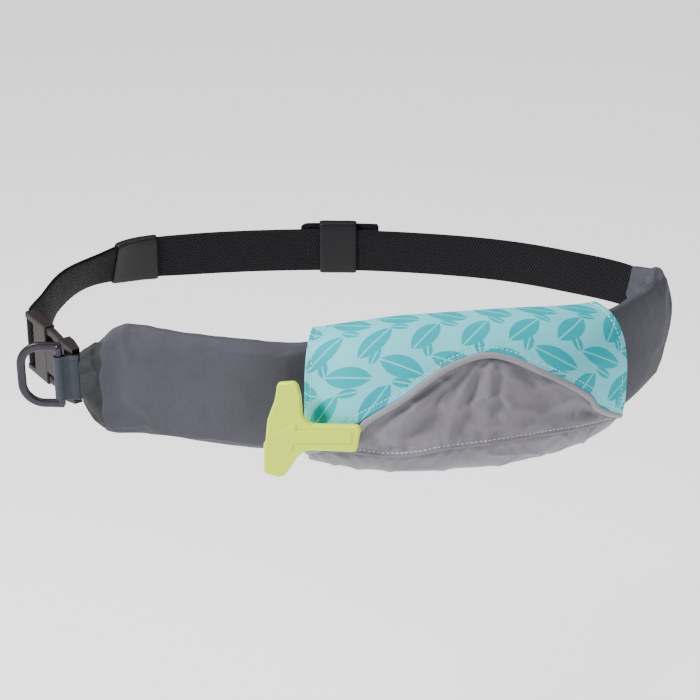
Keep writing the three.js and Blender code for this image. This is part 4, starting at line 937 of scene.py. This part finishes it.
# D-ring: flat oval metal band bent to a D and joined to a round bar, which turns in the tab's fold.
ring_centre = np.array([-217.79, -103.41, -1.5])
tab_along = np.array([-0.9987, 0.0510, 0.0])
tab_out = np.cross([0, 0, 1], tab_along)
ring_rise = 2
band_width, band_thickness, inside_length, inside_height, ring_corner = 6.5, 4.2, 26, 41, 16
ring_bar_radius = 2.75
bar_past_band = 1.2
band_lap = 1.5
band_squareness = 0.6
mid_height, mid_length = (inside_height + band_width) / 2, inside_length + band_width / 2


def in_tab_plane(local):
    local = np.asarray(local, float)
    in_plane = ring_centre + local[..., :1] * tab_along + local[..., 1:2] * tab_out
    return in_plane + local[..., 2:] * np.array([0, 0, 1.0])


ring_path = [(x, 0, mid_height) for x in np.linspace(-band_lap, mid_length - ring_corner, 8)]
bend_x, bend_z = mid_length - ring_corner, mid_height - ring_corner
ring_path += [(bend_x + ring_corner * math.sin(a), 0, bend_z + ring_corner * math.cos(a))
              for a in np.linspace(0, math.pi / 2, 14)[1:]]
ring_path += [(x, 0, -z) for x, _, z in ring_path[::-1]]
ring_path = np.array(ring_path) + np.array([0, 0, ring_rise])
band_outline = [(band_width / 2 * math.copysign(abs(math.cos(a)) ** band_squareness, math.cos(a)),
                 band_thickness / 2 * math.copysign(abs(math.sin(a)) ** band_squareness, math.sin(a)))
                for a in np.linspace(0, 2 * math.pi, 32, endpoint=False)]
ring_points = in_tab_plane(ring_path)
d_ring = sweep("d_ring_metal", ring_points, np.tile(tab_out, (len(ring_points), 1)), band_outline)
bar_end = mid_height + bar_past_band
bar_points = in_tab_plane([(0, 0, z + ring_rise) for z in np.linspace(-bar_end, bar_end, 20)])
bar_outline = [(ring_bar_radius * math.cos(a), ring_bar_radius * math.sin(a)) for a in np.linspace(0,
               2 * math.pi, 24, endpoint=False)]
ring_bar = sweep("d_ring_bar", bar_points, np.tile(tab_out, (len(bar_points), 1)), bar_outline)

# Gunmetal-plated steel: smooth, satin, with faint handling marks.
plated_steel, tree = start_material("gunmetal_plated_steel")
here = add(tree, "ShaderNodeTexCoord")
marks = add(tree, "ShaderNodeTexNoise", {"Vector": here.outputs["Object"], "Scale": 220.0,
            "Detail": 7.0, "Roughness": 0.65})
gloss = add(tree, "ShaderNodeMapRange", {0: marks, 3: 0.24, 4: 0.44})
shade = add(tree, "ShaderNodeMix", {0: marks, 6: linear("#2c2a30"), 7: linear("#4a474e")},
            data_type="RGBA")
relief = add(tree, "ShaderNodeBump", {"Height": marks, "Strength": 0.12, "Distance": 0.0002})
surface = add(tree, "ShaderNodeBsdfPrincipled", {"Base Color": shade.outputs[2], "Metallic": 0.85,
              "Roughness": gloss, "Normal": relief})
add(tree, "ShaderNodeOutputMaterial", {"Surface": surface})
for piece in (d_ring, ring_bar):
    piece.data.materials.append(plated_steel)
    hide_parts("d_ring")
    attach(piece, "ring")


# Tab: bluish grey cloth folded round the ring's bar, its two ends sewn together into the cuff's mouth.
tab_height = 36
tab_layer = 1.6
eye_middle = ring_bar_radius + 0.35 + tab_layer / 2
tail_reach = 15.0
lap = 0.95
tab_path = [(x, lap + 0.12 * math.sin(x)) for x in np.linspace(-tail_reach, -eye_middle - 2.5, 10)]
neck = math.pi - 0.75
tab_path += [(eye_middle * math.cos(a), eye_middle * math.sin(a)) for a in np.linspace(neck, -neck, 26)]
tab_path += [(x, -lap) for x in np.linspace(-eye_middle - 2.5, -tail_reach, 10)]
tab_points = in_tab_plane([(x, y, 0) for x, y in tab_path])
tab_outline = ([(tab_layer / 2, z) for z in np.linspace(-tab_height / 2 + 0.6, tab_height / 2 - 0.6, 12)]
               + [(0.3, tab_height / 2), (-0.3, tab_height / 2)]
               + [(-tab_layer / 2, z) for z in np.linspace(tab_height / 2 - 0.6, -tab_height / 2 + 0.6,
                  12)]
               + [(-0.3, -tab_height / 2), (0.3, -tab_height / 2)])
ring_tab = sweep("d_ring_tab_cloth", tab_points, np.tile([0.0, 0, 1], (len(tab_points), 1)),
                 tab_outline)
tab_cloth = woven_nylon("blue_grey_nylon", "#2c333c", "#404852", thread=0.0009, rough=0.6)
ring_tab.data.materials.append(tab_cloth)
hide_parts("d_ring_tab")
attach(ring_tab, "pack")


# Buckle: the two moulded halves of a side-release buckle, shut. Every outer edge is rounded as a
# mould leaves it.
def moulded(name, node, radius, angle=28):
    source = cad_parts[node].data.copy()
    shape = bmesh.new()
    shape.from_mesh(source)
    bmesh.ops.remove_doubles(shape, verts=shape.verts, dist=1e-6)
    bmesh.ops.dissolve_limit(shape, angle_limit=math.radians(1.5), verts=shape.verts, edges=shape.edges)
    mesh = bpy.data.meshes.new(name)
    shape.to_mesh(mesh)
    shape.free()
    bpy.data.meshes.remove(source)
    mesh.polygons.foreach_set("use_smooth", [True] * len(mesh.polygons))
    piece = bpy.data.objects.new(name, mesh)
    bpy.context.scene.collection.objects.link(piece)
    rounding = piece.modifiers.new("mould_radius", "BEVEL")
    rounding.width = radius
    rounding.segments = 3
    rounding.limit_method = "ANGLE"
    rounding.angle_limit = math.radians(angle)
    level = piece.modifiers.new("level", "WEIGHTED_NORMAL")
    level.keep_sharp = True
    return piece


# Acetal: matt moulded plastic, brownish charcoal, with a fine spark-eroded grain and paler patches.
moulded_acetal, tree = start_material("moulded_acetal")
here = add(tree, "ShaderNodeTexCoord")
grain = add(tree, "ShaderNodeTexNoise", {"Vector": here.outputs["Object"], "Scale": 1500.0,
            "Detail": 3.0})
patch = add(tree, "ShaderNodeTexNoise", {"Vector": here.outputs["Object"], "Scale": 70.0,
            "Detail": 4.0})
shade = add(tree, "ShaderNodeMix", {0: patch, 6: linear("#171312"), 7: linear("#2b2524")},
            data_type="RGBA")
relief = add(tree, "ShaderNodeBump", {"Height": grain, "Strength": 0.3, "Distance": 0.00015})
gloss = add(tree, "ShaderNodeMapRange", {0: patch, 3: 0.42, 4: 0.58})
surface = add(tree, "ShaderNodeBsdfPrincipled", {"Base Color": shade.outputs[2], "Roughness": gloss,
              "Specular IOR Level": 0.25, "Normal": relief})
add(tree, "ShaderNodeOutputMaterial", {"Surface": surface})
for name, node in (("buckle_male_moulding", "buckle_male"), ("buckle_female_moulding",
                   "buckle_female")):
    half_buckle = moulded(name, node, 0.0005)
    half_buckle.data.materials.append(moulded_acetal)
    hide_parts(node)
    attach(half_buckle, "pack")


# Pull handle: a flat T moulded in yellow-green plastic with a raised arrow, on a short cord that goes
# into the pouch behind its stem.
jerk_handle = moulded("jerk_handle_moulding", "jerk_handle", 0.0004, 35)
yellow_plastic, tree = start_material("moulded_yellow_green_plastic")
here = add(tree, "ShaderNodeTexCoord")
grain = add(tree, "ShaderNodeTexNoise", {"Vector": here.outputs["Object"], "Scale": 900.0,
            "Detail": 3.0})
patch = add(tree, "ShaderNodeTexNoise", {"Vector": here.outputs["Object"], "Scale": 45.0,
            "Detail": 3.0})
shade = add(tree, "ShaderNodeMix", {0: patch, 6: linear("#cfea00"), 7: linear("#def818")},
            data_type="RGBA")
relief = add(tree, "ShaderNodeBump", {"Height": grain, "Strength": 0.15, "Distance": 0.00015})
surface = add(tree, "ShaderNodeBsdfPrincipled", {"Base Color": shade.outputs[2], "Roughness": 0.42,
              "Subsurface Weight": 0.05, "Subsurface Scale": 0.003, "Normal": relief})
add(tree, "ShaderNodeOutputMaterial", {"Surface": surface})
jerk_handle.data.materials.append(yellow_plastic)
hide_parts("jerk_handle")
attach(jerk_handle, "pack")

# Braided cord: black nylon strands that cross every 1.5 mm.
braided_cord, tree = start_material("braided_nylon_cord")
here = add(tree, "ShaderNodeTexCoord")
strands = add(tree, "ShaderNodeTexWave", {"Vector": here.outputs["Object"], "Scale": 400.0,
              "Distortion": 2.0},
              wave_type="BANDS", bands_direction="DIAGONAL")
relief = add(tree, "ShaderNodeBump", {"Height": strands.outputs[1], "Strength": 0.7,
             "Distance": 0.0003})
shade = add(tree, "ShaderNodeMix", {0: strands.outputs[1], 6: linear("#141215"), 7: linear("#2e2b30")},
            data_type="RGBA")
surface = add(tree, "ShaderNodeBsdfPrincipled", {"Base Color": shade.outputs[2], "Roughness": 0.8,
              "Normal": relief})
add(tree, "ShaderNodeOutputMaterial", {"Surface": surface})
for material_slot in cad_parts["handle_cord"].material_slots:
    material_slot.material = braided_cord


# Stitching: rows of lockstitch in pale thread round the flap, along the bottom seam and across the tab.
# Each visible stitch is a short plump thread that dips at both ends.
def stitch_tree():
    group = bpy.data.node_groups.new("stitch_row", "GeometryNodeTree")
    for name, kind in (("Row", "NodeSocketGeometry"), ("Pitch", "NodeSocketFloat"), ("Length",
                       "NodeSocketFloat"),
                       ("Thread", "NodeSocketFloat"), ("Material", "NodeSocketMaterial")):
        group.interface.new_socket(name, in_out="INPUT", socket_type=kind)
    group.interface.new_socket("Stitches", in_out="OUTPUT", socket_type="NodeSocketGeometry")
    given = add(group, "NodeGroupInput")
    places = add(group, "GeometryNodeCurveToPoints", {"Curve": given.outputs["Row"],
                 "Length": given.outputs["Pitch"]},
                 mode="LENGTH")
    stitch = add(group, "GeometryNodeMeshUVSphere", {"Segments": 8, "Rings": 5, "Radius": 0.5})
    size = add(group, "ShaderNodeCombineXYZ", {0: given.outputs["Thread"], 1: given.outputs["Thread"],
                                               2: given.outputs["Length"]})
    sized = add(group, "GeometryNodeTransform", {"Geometry": stitch.outputs["Mesh"], "Scale": size})
    placed = add(group, "GeometryNodeInstanceOnPoints", {"Points": places.outputs["Points"],
                 "Instance": sized, "Rotation": places.outputs["Rotation"]})
    whole = add(group, "GeometryNodeRealizeInstances", {0: placed})
    finished = add(group, "GeometryNodeSetMaterial", {"Geometry": whole,
                   "Material": given.outputs["Material"]})
    smooth = add(group, "GeometryNodeSetShadeSmooth", {"Geometry": finished})
    result = add(group, "NodeGroupOutput")
    group.links.new(smooth.outputs[0], result.inputs[0])
    return group


stitch_row_tree = stitch_tree()


def stitch_row(name, points, pitch, length, thread, material):
    line = bpy.data.curves.new(name + "_line", "CURVE")
    line.dimensions = "3D"
    for run in points:
        spline = line.splines.new("POLY")
        spline.points.add(len(run) - 1)
        spline.points.foreach_set("co", np.concatenate([run * 0.001, np.ones((len(run), 1))],
                                  1).reshape(-1))
    row_object = bpy.data.objects.new(name + "_line", line)
    bpy.context.scene.collection.objects.link(row_object)
    sewing = row_object.modifiers.new("sewing", "NODES")
    sewing.node_group = stitch_row_tree
    sizes = {"Pitch": pitch * 0.001, "Length": length * 0.001, "Thread": thread * 0.001,
             "Material": material}
    for item in stitch_row_tree.interface.items_tree:
        if item.in_out == "INPUT" and item.name in sizes:
            sewing[item.identifier] = sizes[item.name]
    evaluated = row_object.evaluated_get(bpy.context.evaluated_depsgraph_get())
    mesh = bpy.data.meshes.new_from_object(evaluated)
    mesh.name = name
    row_object.modifiers.remove(sewing)
    bpy.data.objects.remove(row_object)
    stitches = bpy.data.objects.new(name, mesh)
    bpy.context.scene.collection.objects.link(stitches)
    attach(stitches, "pack")


# Polyester thread: off-white, twisted, with a slight gloss.
sewing_thread, tree = start_material("pale_polyester_thread")
here = add(tree, "ShaderNodeTexCoord")
twist = add(tree, "ShaderNodeTexWave", {"Vector": here.outputs["Object"], "Scale": 900.0},
            wave_type="BANDS",
            bands_direction="DIAGONAL")
relief = add(tree, "ShaderNodeBump", {"Height": twist.outputs[1], "Strength": 0.5, "Distance": 0.0001})
shade = add(tree, "ShaderNodeMix", {0: twist.outputs[1], 6: linear("#cfd6d8"), 7: linear("#eef2f2")},
            data_type="RGBA")
surface = add(tree, "ShaderNodeBsdfPrincipled", {"Base Color": shade.outputs[2], "Roughness": 0.55,
              "Normal": relief})
add(tree, "ShaderNodeOutputMaterial", {"Surface": surface})
grey_thread = sewing_thread.copy()
grey_thread.name = "grey_polyester_thread"
for shade_node in grey_thread.node_tree.nodes:
    if shade_node.bl_idname == "ShaderNodeMix":
        shade_node.inputs[6].default_value = linear("#101317")
        shade_node.inputs[7].default_value = linear("#1e2228")


def on_panel(share, degrees, grow_at, start, end, lift):
    share, degrees = np.broadcast_arrays(share, degrees)
    return pouch_surface(share, degrees, grow_at(share, degrees, start, end) + lift)


stitch_lift = 0.22
# Pitch, stitch length and thread thickness in millimetres.
main_stitch = (3.4, 2.5, 0.75)
fine_stitch = (2.6, 1.9, 0.5)
edge_share = np.linspace(0.012, 0.988, 260)
flap_edge = arch_at(edge_share) - flap_edge_back
flap_rows = [on_panel(edge_share, flap_edge - flap_stitch_inset / degree_length, flap_grow, 0,
             flap_edge, stitch_lift)]
for share in (side_stitch_inset / pouch_length, 1 - side_stitch_inset / pouch_length):
    side_edge = arch_at(np.array(share)) - flap_edge_back
    flap_rows.append(on_panel(share, np.linspace(-20, side_edge - 5, 80), flap_grow, 0, side_edge,
                     stitch_lift))
stitch_row("flap_stitches", flap_rows, *main_stitch, sewing_thread)
cover_edge = seam_at(edge_share) - seam_half_gap
cover_row = on_panel(edge_share, cover_edge - seam_stitch_inset / degree_length, cover_grow, 0,
                     cover_edge, stitch_lift)
stitch_row("seam_stitches", [cover_row], *main_stitch, sewing_thread)
tab_stitch_out, tab_stitch_inset = lap + tab_layer / 2 + 0.15, 3
tab_rows = [in_tab_plane([(x, tab_stitch_out, z) for x in np.linspace(-tail_reach + 1, 1.0, 20)])
            for z in (tab_height / 2 - tab_stitch_inset, -tab_height / 2 + tab_stitch_inset)]
for tab_row in tab_rows:
    tab_row[-8:] += tab_out * np.linspace(0, 1.9, 8)[:, None]
stitch_row("tab_stitches", tab_rows, *fine_stitch, grey_thread)
